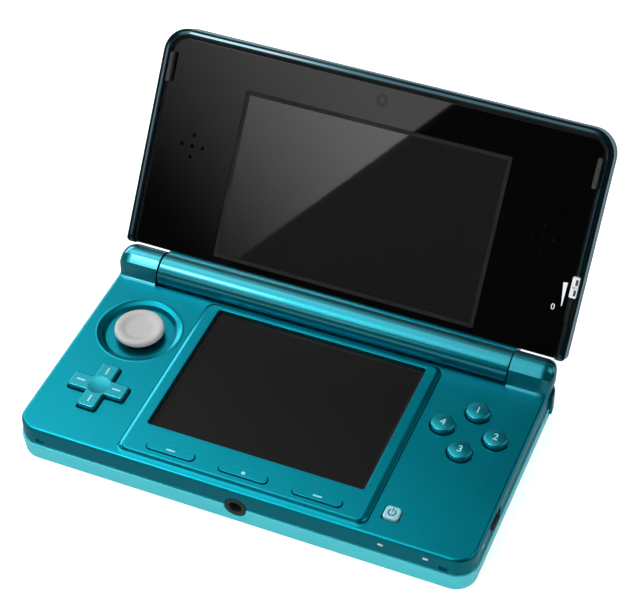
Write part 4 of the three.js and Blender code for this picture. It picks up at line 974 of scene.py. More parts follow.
@dataclass
class ThumbPad:
    """The thumb pad: a concave cap on a stem, over a skirt that closes its well."""

    plan: Plan
    x: float = -50.2
    y: float = 8.6
    well_radius: float = 9.9
    well_rim: float = 12.15
    well_depth: float = 1.8
    well_curve: float = 1.3
    well_band: float = 1.3
    band_slope: float = 20.0
    band_reach: float = 0.94
    lip_width: float = 0.75
    lip_rise: float = 0.12
    lip: tuple[Point, ...] = ((0.0, -0.3), (0.0, -0.02), (0.06, 0.0), (0.28, 0.11), (0.38, 0.12))
    floor: float = 0.9
    cup_wall: float = 0.4
    stem_hole: float = 6.2
    cap_radius: float = 7.2
    cap_top: float = 13.7
    cap_thickness: float = 1.9
    rim_width: float = 1.35
    cap_under: float = 0.75
    cap_over: Point = (0.8, 0.95)
    socket: Point = (0.3, 0.6)
    dish: float = 1.0
    dish_wall: float = 0.62
    dish_turn: float = 2.6
    stem_radius: float = 2.1
    stem_foot: float = 6.4
    stem_rise: float = 3.6
    stem_fillet: float = 0.5
    skirt_radius: float = 10.2
    skirt: Point = (8.5, 9.0)
    skirt_edge: Point = (0.2, 0.15)

    def cup(self) -> Solid:
        """The solid under the well that the casing gains, and the low lip round its mouth.

        Returns:
            The solid.
        """
        low = self.plan.height - self.well_depth - self.floor
        cup = prism(disc(self.x, self.y, self.well_rim + self.cup_wall), low,
                    self.plan.height - self.plan.face_wall + OVERRUN / 2)
        lip = loft(disc(self.x, self.y, self.well_rim + self.lip_width),
                   raised(self.lip, self.plan.height))
        return cup.join(lip)

    def well(self) -> list[Solid]:
        """The cutters for the round well and the stem's hole.

        Returns:
            The two cutters.
        """
        top = self.plan.height
        low = top - self.well_depth
        width = self.well_rim - self.well_radius
        steep = width - self.well_band
        fall = self.well_band * math.tan(math.radians(self.band_slope))
        foot = self.well_depth - fall
        bowl = [(-steep * share, low + foot * share**self.well_curve) for share in shares(7)]
        band = [(-steep - self.well_band * share, low + foot + fall * share)
                for share in (self.band_reach * part for part in shares(4)[1:])]
        mouth = -width - self.lip_rise
        rim = [(-width, top + 0.02), (mouth, top + self.lip_rise), (mouth, top + OVERRUN)]
        well = loft(disc(self.x, self.y, self.well_radius), [*bowl, *band, *rim])
        stem = prism(disc(self.x, self.y, self.stem_hole), low - self.floor - OVERRUN,
                     low + self.plan.seat)
        return [well, stem]

    def build(self, shop: Workshop) -> None:
        """Makes the cap and the stem with its skirt.

        Args:
            shop: what makes the pieces.
        """
        place = Matrix.Translation((self.x, self.y, 0))
        top, low = self.cap_top, self.cap_top - self.cap_thickness
        bore, ceiling = self.stem_radius + self.socket[0], low + self.socket[1]
        profile = [(0, ceiling), (bore, ceiling), (bore, low)]
        under = footing(self.cap_under, self.cap_under, low, steps=6)
        over = rounding(*self.cap_over, top, FINE_STEPS)
        profile += [(self.cap_radius - inset, z) for inset, z in under + over]
        crest = self.cap_radius - self.rim_width
        for share in shares(16)[1:]:
            wall = 0.5 - 0.5 * math.cos(math.pi * min(1.0, share * self.dish_turn))
            bowl = 1 - (1 - share) ** 2
            fall = self.dish * (self.dish_wall * wall + (1 - self.dish_wall) * bowl)
            profile.append((crest * (1 - share), top - fall))
        cap = turned(profile, CAP_STEPS).moved(place)
        shop.show(cap, "thumb_cap", PAD, "circle_pad", "pad_grey", "circle_pad")
        low, high = self.skirt
        radius, rim, fillet = self.stem_radius, self.skirt_radius, self.stem_fillet
        inset, drop = self.skirt_edge
        stem = turned([(0, self.stem_foot), (radius, self.stem_foot), (radius, low),
                       (rim - inset, low), (rim, low + drop), (rim, high - drop),
                       (rim - inset, high), (radius + fillet, high), (radius, high + fillet),
                       (radius, low + self.stem_rise), (0, low + self.stem_rise)]).moved(place)
        shop.show(stem, "thumb_stem", DARK, "circle_pad", "dark_plastic", "circle_pad_stem")


@dataclass
class CrossPad:
    """The d-pad: a cross with a shallow dish in its middle and a raised dash on each arm."""

    plan: Plan
    x: float = -50.6
    y: float = -16.2
    span: float = 16.8
    arm: float = 5.3
    top: float = 13.4
    tip: float = 0.7
    side_gap: float = 0.35
    edge: float = 0.4
    flange: float = 0.9
    flange_high: float = 9.65
    flange_thickness: float = 0.5
    inner_corner: float = 0.5
    hole_corner: float = 0.3
    foot_radius: float = 1.4
    foot_low: float = 9.1
    dish_radius: float = 34.0
    dish_reach: float = 3.4
    dash: Point = (2.7, 0.6)
    dash_reach: float = 5.5
    dash_rise: float = 0.2
    dash_sink: float = 0.4
    dash_edge: float = 0.18

    def opening(self) -> Solid:
        """The cutter for its hole in the control face."""
        gap = self.side_gap
        return hole(crossed(self.x, self.y, self.span + 2 * gap, self.arm + 2 * gap, self.tip,
                            self.hole_corner),
                    self.plan.below_face(), self.plan.height, self.plan.hole_edge)

    def dish(self) -> Solid:
        """The cutter for the shallow dish in the cross's middle.

        Returns:
            The cutter.
        """
        radius, reach, top = self.dish_radius, self.dish_reach, self.top + OVERRUN
        low = self.top - (radius - math.sqrt(radius**2 - reach**2))
        bowl = [(radius * math.sin(a), low + radius * (1 - math.cos(a)))
                for a in (share * math.asin(reach / radius) for share in shares(FINE_STEPS))]
        return turned([*bowl, (reach + 0.2, top), (0, top)])

    def build(self, shop: Workshop) -> None:
        """Makes the cross and its dashes, whose pale colour is a painted highlight.

        Args:
            shop: what makes the pieces.
        """
        place = Matrix.Translation((self.x, self.y, 0))
        low = self.flange_high - self.flange_thickness
        cross = softened(crossed(self.x, self.y, self.span, self.arm, self.tip,
                                 self.inner_corner), low, self.top, 0, self.edge)
        flange = prism(crossed(self.x, self.y, self.span + 2 * self.flange,
                               self.arm + 2 * self.flange, self.tip, self.hole_corner), low,
                       self.flange_high)
        foot = prism(disc(self.x, self.y, self.foot_radius, SMALL_ROUND_STEPS), self.foot_low,
                     self.flange_high)
        cross.join(flange, foot).cut(self.dish().moved(place))
        shop.show(cross, "cross_pad", KEYS, "d_pad", "key_teal", "d_pad")
        length, width = self.dash
        bars = [softened(centred(self.dash_reach, 0, length, width, width / 2.2),
                         self.top - self.dash_sink, self.top + self.dash_rise, 0, self.dash_edge)
                .moved(place @ Matrix.Rotation(k * math.pi / 2, 4, "Z")) for k in range(4)]
        # The dashes are pale as a painted highlight, standing for the glint on moulded dashes
        shop.show(bars[0].join(*bars[1:]), "cross_pad_painted_dash_highlights", PALE_PRINT_AND_HIGHLIGHT, "d_pad", "light")


# The size of type whose figures are 1 high, and half the thickness of a print
TYPE_SIZE = 1.42
PRINT_HALF = 0.06


def number(figure: str, size: float, lift: Callable[[float, float], float] | None = None) -> Solid:
    """A plain number as a thin raised solid round the Z axis.

    Args:
        figure: the number.
        size: the height of its figures.
        lift: the surface's height at an offset from the number's middle, or None at height 0.

    Returns:
        The solid.
    """
    curve = bpy.data.curves.new("figure", "FONT")
    curve.body = figure
    curve.size = size * TYPE_SIZE
    curve.align_x = "CENTER"
    curve.align_y = "CENTER"
    curve.resolution_u = 6
    curve.extrude = PRINT_HALF
    writing = bpy.data.objects.new("figure", curve)
    bpy.context.scene.collection.objects.link(writing)
    graph = bpy.context.evaluated_depsgraph_get()
    mesh = bpy.data.meshes.new_from_object(writing.evaluated_get(graph))
    bpy.data.objects.remove(writing)
    work = bmesh.new()
    work.from_mesh(mesh)
    bmesh.ops.remove_doubles(work, verts=work.verts, dist=1e-4)
    across = [v.co.x for v in work.verts]
    along = [v.co.y for v in work.verts]
    middle = Vector(((min(across) + max(across)) / 2, (min(along) + max(along)) / 2, 0))
    for vertex in work.verts:
        spot = vertex.co - middle
        height = lift(spot.x, spot.y) if lift else 0.0
        vertex.co = Vector((spot.x, spot.y, spot.z + height))
    solid = Solid([tuple(v.co) for v in work.verts], [[v.index for v in f.verts] for f in work.faces])
    work.free()
    bpy.data.meshes.remove(mesh)
    return solid


@dataclass
class FaceButtons:
    """Four round domed buttons in a diamond, each with a plain number."""

    plan: Plan
    x: float = 50.65
    y: float = 6.5
    pitch: float = 7.6
    radius: float = 3.4
    top: float = 13.6
    dome: float = 0.14
    edge: float = 0.62
    flange: float = 0.8
    flange_thickness: float = 0.45
    hole_edge: float = 0.22
    figure_size: float = 2.3

    def places(self) -> list[Point]:
        """The four middle points: back, right, front and left."""
        return [(self.x, self.y + self.pitch), (self.x + self.pitch, self.y),
                (self.x, self.y - self.pitch), (self.x - self.pitch, self.y)]

    def openings(self) -> list[Solid]:
        """The cutters for their holes."""
        low = self.plan.below_face()
        return [hole(disc(x, y, self.radius + self.plan.run), low, self.plan.height,
                     self.hole_edge) for x, y in self.places()]

    def rise(self, x: float, y: float) -> float:
        """The domed top's height at an offset from its middle."""
        share = min(1.0, math.hypot(x, y) / (self.radius - self.edge))
        return self.top - self.dome * share**2

    def build(self, shop: Workshop) -> None:
        """Makes the four buttons and their numbers.

        Args:
            shop: what makes the pieces.
        """
        high = self.plan.flange_top
        low, wide = high - self.flange_thickness, self.radius + self.flange
        shoulder = rounding(self.edge, self.edge, self.top - self.dome, steps=7)
        inside = [(self.radius - self.edge) * (1 - share) for share in shares(FINE_STEPS)[1:]]
        profile = [(0, low), (wide, low), (wide, high), (self.radius, high),
                   *((self.radius - inset, z) for inset, z in shoulder),
                   *((reach, self.rise(reach, 0)) for reach in inside)]
        for place, (x, y) in enumerate(self.places(), 1):
            move, name = Matrix.Translation((x, y, 0)), f"face_button_{place}"
            shop.show(turned(profile).moved(move), f"round_button_{place}", KEYS, name, "key_teal",
                      name)
            figure = number(str(place), self.figure_size, self.rise).moved(move)
            shop.show(figure, f"button_number_{place}", PALE_PRINT_AND_HIGHLIGHT, name, "light")


@dataclass
class SmallKeys:
    """The three system keys in the surround, and the power button beside it."""

    plan: Plan
    key_top: float = 13.55
    key_edge: float = 0.2
    key_gap: float = 0.18
    flange: float = 0.7
    flange_thickness: float = 0.45
    power: Point = (41.4, -28.0)
    power_size: float = 4.3
    power_corner: float = 1.0
    power_top: float = 12.7
    power_edge: float = 0.35
    hole_edge: float = 0.1
    dash: Corner = (2.6, 0.5, 0.24)
    dot: Corner = (1.1, 1.1, 0.5)
    ring: Point = (1.0, 0.15)
    ring_turn: Point = (125.0, 415.0)
    line: float = 1.2
    line_corner: float = 0.9

    def openings(self, low: float, top: float) -> list[Solid]:
        """The cutters for the keys' holes, from a height up to a flat surface.

        Args:
            low, top: the two heights.

        Returns:
            The three cutters.
        """
        width, depth = self.plan.key_size
        run = 2 * self.key_gap
        return [hole(centred(x, self.plan.key_along, width + run, depth + run,
                             self.plan.key_corner + run / 2), low, top, self.hole_edge)
                for x in self.plan.key_places().values()]

    def power_opening(self) -> Solid:
        """The cutter for the power button's hole."""
        size = self.power_size + 2 * self.plan.run
        return hole(centred(*self.power, size, size, self.power_corner),
                    self.plan.below_face(), self.plan.height, self.plan.hole_edge)

    def flanged(self, x: float, y: float, width: float, depth: float, corner: float, top: float,
                edge: float) -> Solid:
        """A key with a soft top edge and a flange that keeps it under the face.

        Args:
            x, y: its middle point.
            width, depth, corner: its sizes in plan.
            top, edge: its height and the radius of its top edge.

        Returns:
            The key.
        """
        high = self.plan.flange_top
        low = high - self.flange_thickness
        cap = softened(centred(x, y, width, depth, corner), low, top, 0, edge)
        wide = centred(x, y, width + 2 * self.flange, depth + 2 * self.flange, corner + self.flange)
        return cap.join(prism(wide, low, high))

    def build(self, shop: Workshop) -> None:
        """Makes the keys, the power button and their plain marks.

        Args:
            shop: what makes the pieces.
        """
        width, depth = self.plan.key_size
        along = self.plan.key_along
        for name, x in self.plan.key_places().items():
            key = self.flanged(x, along, width, depth, self.plan.key_corner, self.key_top,
                               self.key_edge)
            shop.show(key, f"{name}_bar", CASING, name, "key_teal", name)
            mark = prism(centred(x, along, *(self.dash if x else self.dot)),
                         self.key_top - PRINT_SINK, self.key_top + PRINT_RISE)
            shop.show(mark, f"{name}_mark", PALE_PRINT_AND_HIGHLIGHT, name, "light")
        size = self.power_size
        power = self.flanged(*self.power, size, size, self.power_corner, self.power_top,
                             self.power_edge)
        shop.show(power, "power_key", POWER, "power_button", "silver_plastic", "power_button")
        self.power_mark(shop)

    def power_mark(self, shop: Workshop) -> None:
        """Makes the plain broken ring and line on the power button.

        Args:
            shop: what makes the pieces.
        """
        x, y = self.power
        radius, stroke = self.ring
        start, end = self.ring_turn
        low, high = self.power_top - PRINT_SINK, self.power_top + PRINT_RISE
        loop = arc(x, y, radius + stroke, start, end, steps=40)
        loop += arc(x, y, radius - stroke, end, start, steps=40)
        shop.show(prism(lambda inset: loop, low, high), "power_ring_mark", DARK, "power_button",
                  "dark_plastic")
        corner = stroke * self.line_corner
        line = prism(centred(x, y + radius, 2 * stroke, self.line, corner), low, high)
        shop.show(line, "power_line_mark", DARK, "power_button", "dark_plastic")


@dataclass
class Shoulders:
    """The two shoulder buttons that wrap the rear corners of the base."""

    plan: Plan
    inner: float = 42.6
    step: float = 55.4
    front: float = 29.8
    low: float = 2.6
    middle: float = 6.4
    high: float = 9.5
    proud: float = 0.4
    thickness: float = 2.8
    press: float = 1.5
    edge: float = 0.45
    cut_corner: float = 0.5
    cut_reach: float = 7.0
    pin: Point = (45.0, 33.4)
    pin_radius: float = 0.9
    lug_wall: float = 1.2

    def room(self, side: Side) -> Solid:
        """The cutter for the space that a button needs.

        Args:
            side: the side that it is for.

        Returns:
            The cutter.
        """
        run = self.plan.run
        outer, rear = self.plan.half + OVERRUN, self.plan.rear + OVERRUN
        front, low = self.front - self.press, self.low - run
        tall = block(self.step - run, outer, front, rear, low, self.high + run)
        flat = block(self.inner - run, outer, front, rear, low, self.middle + run)
        return tall.join(flat).mirrored(side)

    def band(self, high: float) -> Solid:
        """A soft-edged band round the whole base, up to a height.

        Args:
            high: the height.

        Returns:
            The band.
        """
        hollow = prism(lambda inset: self.plan.outline(self.thickness + inset),
                       self.low - OVERRUN, high + OVERRUN)
        body = softened(lambda inset: self.plan.outline(inset - self.proud), self.low, high,
                        self.edge, self.edge)
        return body.cut(hollow)

    def build(self, shop: Workshop) -> None:
        """Makes both buttons.

        Args:
            shop: what makes the pieces.
        """
        outer, rear = self.plan.half + self.cut_reach, self.plan.rear + self.cut_reach
        bore_radius = self.pin_radius + self.plan.seat
        lug_radius = bore_radius + self.lug_wall
        for side in Side:
            cuts = [prism(boxed(start, outer, self.front, rear, self.cut_corner),
                          self.low - OVERRUN, self.high + OVERRUN)
                    for start in (self.inner, self.step)]
            flat = self.band(self.middle).share(cuts[0])
            tall = self.band(self.high).share(cuts[1])
            lug = prism(disc(*self.pin, lug_radius), self.low, self.middle)
            arm = block(self.pin[0] - lug_radius, self.pin[0] + lug_radius, self.pin[1],
                        self.plan.rear - self.thickness / 2, self.low, self.middle)
            bore = prism(disc(*self.pin, bore_radius), self.low - OVERRUN, self.middle + OVERRUN)
            button = flat.join(tall, lug, arm).cut(bore).mirrored(side)
            word = side.name.lower()
            node = f"shoulder_button_{word}"
            shop.show(button, f"shoulder_{word}", CASING, node, "casing_teal", node)


@dataclass
class SideKnobs:
    """The volume slider on the left edge and the wireless switch on the right."""

    plan: Plan
    y: float = -18.0
    low: float = 7.9
    length: float = 5.0
    thickness: float = 1.9
    proud: float = 0.7
    corner: float = 0.3
    edge: float = 0.25
    wall: float = 1.5
    root: float = 0.6
    back: Corner = (1.2, 1.2, 0.2)
    back_low: float = 8.2
    groove: Point = (0.25, 0.2)
    groove_pitch: float = 0.95
    groove_reach: float = 2.0
    slot_inner: float = 62.9
    travel: dict[Side, Point] = field(
        default_factory=lambda: {Side.LEFT: (3.2, 3.2), Side.RIGHT: (0.0, 2.2)})

    def level(self) -> float:
        """The height of the knobs' middle."""
        return (self.low + self.plan.flange_top) / 2

    def slot(self, side: Side) -> Solid:
        """The cutter for a knob's slot in the side wall.

        Args:
            side: the side that it is for.

        Returns:
            The cutter.
        """
        back, forth = self.travel[side]
        run, level = self.plan.run, self.level()
        half, thick = self.length / 2 + run, self.thickness / 2 + run
        cutter = block(self.slot_inner, self.plan.half + OVERRUN, self.y - half - back,
                       self.y + half + forth, level - thick, level + thick)
        return cutter.mirrored(side)

    def build(self, shop: Workshop) -> None:
        """Makes both knobs with their ribs.

        Args:
            shop: what makes the pieces.
        """
        wall, level = self.plan.half - self.plan.lip, self.level()
        inside, face = wall - self.wall - self.plan.seat, wall + self.proud
        thick, wider, corner = self.back
        reach = self.length / 2 + wider
        depth, half_groove = self.groove
        turn = Matrix.Rotation(math.pi / 2, 4, "Y")
        for side, node in ((Side.LEFT, "volume_slider"), (Side.RIGHT, "wireless_switch")):
            knob = softened(centred(-level, self.y, self.thickness, self.length, self.corner),
                            inside - self.root, face, 0, self.edge).moved(turn)
            back = prism(boxed(-self.plan.flange_top, -self.back_low, self.y - reach,
                               self.y + reach, corner), inside - thick, inside).moved(turn)
            grooves = [block(face - depth, face + OVERRUN, y - half_groove, y + half_groove,
                             level - self.groove_reach, level + self.groove_reach)
                       for y in (self.y + (k - 1.5) * self.groove_pitch for k in range(4))]
            knob.join(back).cut(*grooves).mirrored(side)
            shop.show(knob, f"{node}_knob", DARK, node, "dark_plastic", node)


@dataclass
class Base:
    """The lower half: control face with its hinge knuckles, bottom cover and screen surround."""

    plan: Plan
    shoulders: Shoulders
    knobs: SideKnobs
    pad: ThumbPad
    cross: CrossPad
    buttons: FaceButtons
    keys: SmallKeys
    bevel: Point = (1.0, 0.9)
    foot_edge: float = 0.12
    wall: float = 2.0
    cavity_rear: float = 25.9
    cavity_corners: Point = (4.5, 0.7)
    cavity_top: float = 10.5
    trough_rear: float = 45.0
    trough_corner: float = 0.15
    trough_edges: Point = (0.6, 0.3)
    knuckle_front: tuple[Point, ...] = ((26.2, 12.0), (26.75, 12.08), (27.2, 12.35), (27.45, 12.85),
                                        (28.75, 16.7), (30.77, 18.2))
    knuckle_radius: float = 5.45
    knuckle_pull: Point = (32.0, 12.0)
    knuckle_edge: Point = (0.4, 4.0)
    knuckle_waist: Point = (0.7, 3.0)
    knuckle_room: Corner = (9.0, 20.0, 30.0)
    pin: Corner = (2.3, 53.0, 62.1)
    jack_radius: float = 3.05
    jack_bore: float = 1.8
    jack_length: float = 11.0
    jack_mouth: tuple[Point, ...] = ((1.8, 0.3), (2.0, 0.05), (2.3, 0.0), (2.8, 0.0), (3.05, 0.25))
    jack_end: float = 0.5
    jack_reach: Point = (4.0, 3.4)
    jack_z: float = 5.95
    notch_x: float = 58.9
    notch: Corner = (2.4, 2.2, 0.3)
    notch_heights: Point = (6.9, 8.3)
    notch_edge: float = 0.2
    lights: tuple[float, float] = (41.4, 53.9)
    light_z: float = 9.2
    light_half: Point = (0.85, 0.5)
    light_depth: float = 3.0
    side_light_y: float = -27.0
    surround: tuple[float, float, float, float] = (-36.2, 36.2, -34.6, 26.3)
    surround_corner: float = 2.5
    surround_top: float = 13.2
    surround_groove: float = 0.28
    surround_seat: float = 0.3
    surround_profile: tuple[Corner, ...] = (
        (0.0, 1.3, -0.3), (0.0, 1.3, -0.02), (0.0, -1.1, -0.01), (0.0, -1.05, 0.03),
        (0.0, -0.5, 0.06), (0.0, 0.0, 0.11), (0.04, 0.12, 0.2), (0.08, 0.2, 0.38), (0.18, 0.25, 0.48),
        (0.8, 0.32, 0.655), (0.9, 0.36, 0.7), (0.93, 0.42, 0.96), (0.98, 0.5, 1.06), (1.1, 0.58, 1.1),
        (1.4, 0.84, 1.2))
    surround_tuck: float = 1.2
    surround_edge: float = 0.25
    window_corner: float = 0.8
    window_rebate: float = 2.8
    glass_overlap: float = 2.2
    glass: Point = (10.7, 11.7)
    touch_edge: Corner = (0.6, 0.06, 0.4)
    touch_border: float = 1.1
    cover_taper: float = 0.5
    cover_foot: float = 0.5
    cover_steps: tuple[Point, ...] = ((0.05, -0.75), (0.0, -0.6))
    cover_edge: float = 0.22
    cover_wall: float = 1.4
    cover_floor: float = 1.1
    cover_inside_top: float = 8.0
    door: tuple[float, float] = (-1.0, 26.0)
    door_low: float = 1.9
    door_depth: float = 3.5
    door_wall: float = 1.7
    ports: Corner = (41.5, 0.3, 2.4)
    sink: tuple[Point, ...] = ((0, -1), (2.2, -1), (2.2, -0.01), (1.9, 0.25), (1.9, 0.6),
                               (1.2, 0.6), (1.2, 2.1), (0, 2.1))
    thumb_y: float = -20.0
    thumb_pitch: float = 1.6
    thumb_bar: Corner = (13.0, 0.7, 0.3)
    thumb_narrowing: float = 1.2
    thumb_heights: Point = (-0.5, 0.3)
    thumb_edge: float = 0.2

    def knuckle(self, side: Side) -> Solid:
        """One end of the hinge: leaning front, flat facet, round top and a soft outer end.

        Args:
            side: the side that it is for.

        Returns:
            The knuckle.
        """
        plan = self.plan
        inner, outer = plan.barrel_half + plan.seat, plan.half
        low = plan.shell_foot + plan.seat
        profile: Outline = [(plan.hinge_y, low), (self.knuckle_front[0][0], low), *self.knuckle_front]
        profile += arc(plan.hinge_y, plan.hinge_z, self.knuckle_radius, start=110, end=-45, steps=30)
        yc, zc = self.knuckle_pull
        pull, length = self.knuckle_edge
        narrowing, fade = self.knuckle_waist
        rings: list[list[Corner]] = [[(inner, y, z) for y, z in profile]]
        for drawn, reach in rounding(1.0, 1.0, 1.0, steps=9):
            scale = 1 - pull * drawn
            ring: list[Corner] = []
            for y, z in profile:
                waist = narrowing * min(1.0, max(0.0, 1 - (z - plan.height) / fade))
                x = outer - length * (1 - reach) - waist * reach
                ring.append((x, yc + (y - yc) * scale, zc + (z - zc) * scale))
            rings.append(ring)
        inwards, front, top = self.knuckle_room
        seen = prism(boxed(inner - inwards, outer, front, plan.hinge_y + self.knuckle_radius, 1.0,
                           plan.corner), 0, top)
        return skinned(rings).share(seen).mirrored(side)

    def lamp_slots(self) -> list[Solid]:
        """The cutters for the three small lights.

        Returns:
            The cutters.
        """
        half, rise = self.light_half
        z0, z1 = self.light_z - rise, self.light_z + rise
        front, side, y = -self.plan.front, self.plan.half, self.side_light_y
        cuts = [block(x - half, x + half, front - OVERRUN, front + self.light_depth, z0, z1)
                for x in self.lights]
        cuts.append(block(side - self.light_depth, side + OVERRUN, y - half, y + half, z0, z1))
        return cuts

    def jack_hole(self, length: float) -> Solid:
        """The cutter for the headphone socket in the front wall.

        Args:
            length: how far it goes, from just in front of the wall.

        Returns:
            The cutter.
        """
        start = -self.plan.front - OVERRUN
        bar = rod(self.jack_radius + self.plan.gap, start, start + length, ROUND_STEPS)
        return bar.moved(along_y(0, self.jack_z))

    def control_face(self) -> Solid:
        """The upper casing half of the base.

        Returns:
            The solid.
        """
        plan = self.plan
        skin = [(plan.lip + self.foot_edge, plan.shell_foot),
                (plan.lip, plan.shell_foot + self.foot_edge)]
        skin += [(plan.lip + i, z) for i, z in rounding(*self.bevel, plan.height, FINE_STEPS)]
        body = loft(plan.outline, skin)
        half, reach = plan.half - self.wall, plan.barrel_half + plan.seat
        cavity = prism(boxed(-half, half, self.wall - plan.front, self.cavity_rear,
                             *self.cavity_corners), plan.shell_foot - OVERRUN, self.cavity_top)
        shape = boxed(-reach, reach, plan.trough_front, self.trough_rear, self.trough_corner)
        foot, mouth = self.trough_edges
        trough = softened(shape, plan.trough_floor, plan.height + 2 * OVERRUN, foot, 0)
        body.cut(cavity, trough, hole(shape, self.cavity_top, plan.height, mouth))
        body.join(self.pad.cup(), self.knuckle(Side.LEFT), self.knuckle(Side.RIGHT))
        low = plan.below_face()
        width, depth = plan.window
        window = hole(centred(0, 0, width + self.window_rebate, depth + self.window_rebate,
                              self.window_corner), low, plan.height, self.keys.hole_edge)
        notches = [softened(centred(side.value * self.notch_x, -plan.front, *self.notch),
                            *self.notch_heights, self.notch_edge, self.notch_edge)
                   for side in Side]
        pins = [rod(*self.pin).moved(along_x(plan.hinge_y, plan.hinge_z)).mirrored(side)
                for side in Side]
        body.cut(self.surround_pocket())
        body.cut(*self.pad.well(), *self.buttons.openings(), *self.keys.openings(low, plan.height),
                 self.keys.power_opening(), self.cross.opening(), window, *notches, *pins,
                 *self.lamp_slots(), self.jack_hole(self.jack_reach[0]), self.knobs.slot(Side.LEFT),
                 self.knobs.slot(Side.RIGHT), self.shoulders.room(Side.LEFT),
                 self.shoulders.room(Side.RIGHT))
        return body

    def cover_skin(self) -> Solid:
        """The outer form of the bottom cover.

        Returns:
            The solid.
        """
        foot, top, edge = self.cover_foot, self.plan.seam, self.cover_edge
        profile = [(self.cover_taper + inset, z) for inset, z in footing(foot, foot, 0)]
        profile += raised(self.cover_steps, top)
        profile += rounding(edge, edge, top)
        return loft(self.plan.outline, profile)

    def bottom_cover(self) -> Solid:
        """The lower casing half, which is the battery cover.

        Returns:
            The solid.
        """
        plan = self.plan
        floor, top = self.cover_floor, self.cover_inside_top
        inside = prism(lambda inset: plan.outline(inset + self.cover_wall), floor, top)
        half, gap, depth = self.ports
        ports = block(-half - gap, half + gap, plan.rear - depth, plan.rear + OVERRUN, floor, top)
        sinks = []
        for count in range(1, 5):
            low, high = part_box(f"cover_screw_{count}")
            middle = (low + high) / 2 / MM
            sink = turned(self.sink, SMALL_ROUND_STEPS)
            sinks.append(sink.moved(Matrix.Translation((middle.x, middle.y, 0))))
        length, width, corner = self.thumb_bar
        thumb = [softened(centred(0, self.thumb_y + self.thumb_pitch * k,
                                  length - self.thumb_narrowing * k, width, corner),
                          *self.thumb_heights, self.thumb_edge, 0) for k in range(5)]
        return self.cover_skin().cut(inside, ports, self.jack_hole(self.jack_reach[1]),
                                     self.door_room(plan.gap), *sinks, *thumb,
                                     self.shoulders.room(Side.LEFT),
                                     self.shoulders.room(Side.RIGHT))

    def door_room(self, gap: float) -> Solid:
        """The space of the card door in the left wall, with a gap round it."""
        start, end = self.door
        return block(-self.plan.half - OVERRUN, -self.plan.half + self.door_depth, start - gap,
                     end + gap, self.door_low - gap, self.cover_inside_top)

    def surround_pocket(self) -> Solid:
        """The cutter for the shallow seat that leaves a fine groove round the surround.

        Returns:
            The cutter.
        """
        x0, x1, y0, y1 = self.surround
        gap = self.surround_groove
        return prism(boxed(x0 - gap, x1 + gap, y0 + self.surround_tuck, y1 + gap,
                           self.surround_seat, self.surround_corner),
                     self.plan.height - self.surround_seat, self.plan.height + OVERRUN)

    def screen_surround(self) -> Solid:
        """The raised frame round the touch screen: a ledge at its sides, a hollow step in front.

        Returns:
            The solid.
        """
        plan = self.plan
        x0, x1, y0, y1 = self.surround
        rings: list[list[Corner]] = []
        for side, front, rise in self.surround_profile:
            corner = self.surround_corner - side / 2
            shape = boxed(x0 + side, x1 - side, y0 + front, y1 - side, corner)
            rings.append([(x, y, plan.height + rise) for x, y in shape(0)])
        low = plan.height - OVERRUN
        window = hole(centred(0, 0, *plan.window, self.window_corner), low, self.surround_top,
                      self.surround_edge)
        return skinned(rings).cut(window, *self.keys.openings(low, self.surround_top))

    def build(self, shop: Workshop) -> None:
        """Makes the casing, the surround, the touch panel, the door and the sockets.

        Args:
            shop: what makes the pieces.
        """
        casing = shop.show(self.control_face(), "control_casing", CASING, "base", "casing_teal",
                           "control_face")
        shop.polish(casing, HINGE, (self.plan.barrel_half, self.cavity_rear,
                                    self.plan.height + 0.02))
        shop.show(self.bottom_cover(), "battery_cover", COVER, "base", "cover_teal", "bottom_cover")
        shop.show(self.screen_surround(), "touch_surround", CASING, "base", "casing_teal",
                  "screen_surround")
        self.touch_screen(shop)
        inner = prism(lambda inset: self.plan.outline(inset + self.door_wall), -OVERRUN,
                      self.cover_inside_top)
        door = self.cover_skin().cut(inner).share(self.door_room(0.0))
        shop.show(door, "card_door", COVER, "sd_card_door", "cover_teal", "sd_card_door")
        face = -self.plan.front + self.plan.lip / 2
        end = face + self.jack_length
        floor = end - self.jack_end
        socket = turned([*raised(self.jack_mouth, face), (self.jack_radius, end), (0, end),
                         (0, floor), (self.jack_bore, floor)], steps=48, closed=True)
        socket.moved(along_y(0, self.jack_z))
        shop.show(socket, "phones_socket", DARK, "base", "dark_plastic", "headphone_jack")

    def touch_screen(self, shop: Workshop) -> None:
        """Makes the touch panel and the dark edge on it.

        Args:
            shop: what makes the pieces.
        """
        width, depth = self.plan.window
        low, top = self.glass
        over, border, corner = self.glass_overlap, 2 * self.touch_border, self.window_corner
        panel = prism(centred(0, 0, width + over, depth + over, corner), low, top)
        shop.show(panel, "touch_glass", TOUCH, "base", "display", "touch_panel")
        wider, rise, inner_corner = self.touch_edge
        ring = prism(centred(0, 0, width + wider, depth + wider, corner), top, top + rise)
        ring.cut(prism(centred(0, 0, width - border, depth - border, inner_corner), low,
                       top + OVERRUN))
        shop.show(ring, "touch_edge", BLACK_RUBBER_AND_SHADE, "base", "rubber_black")


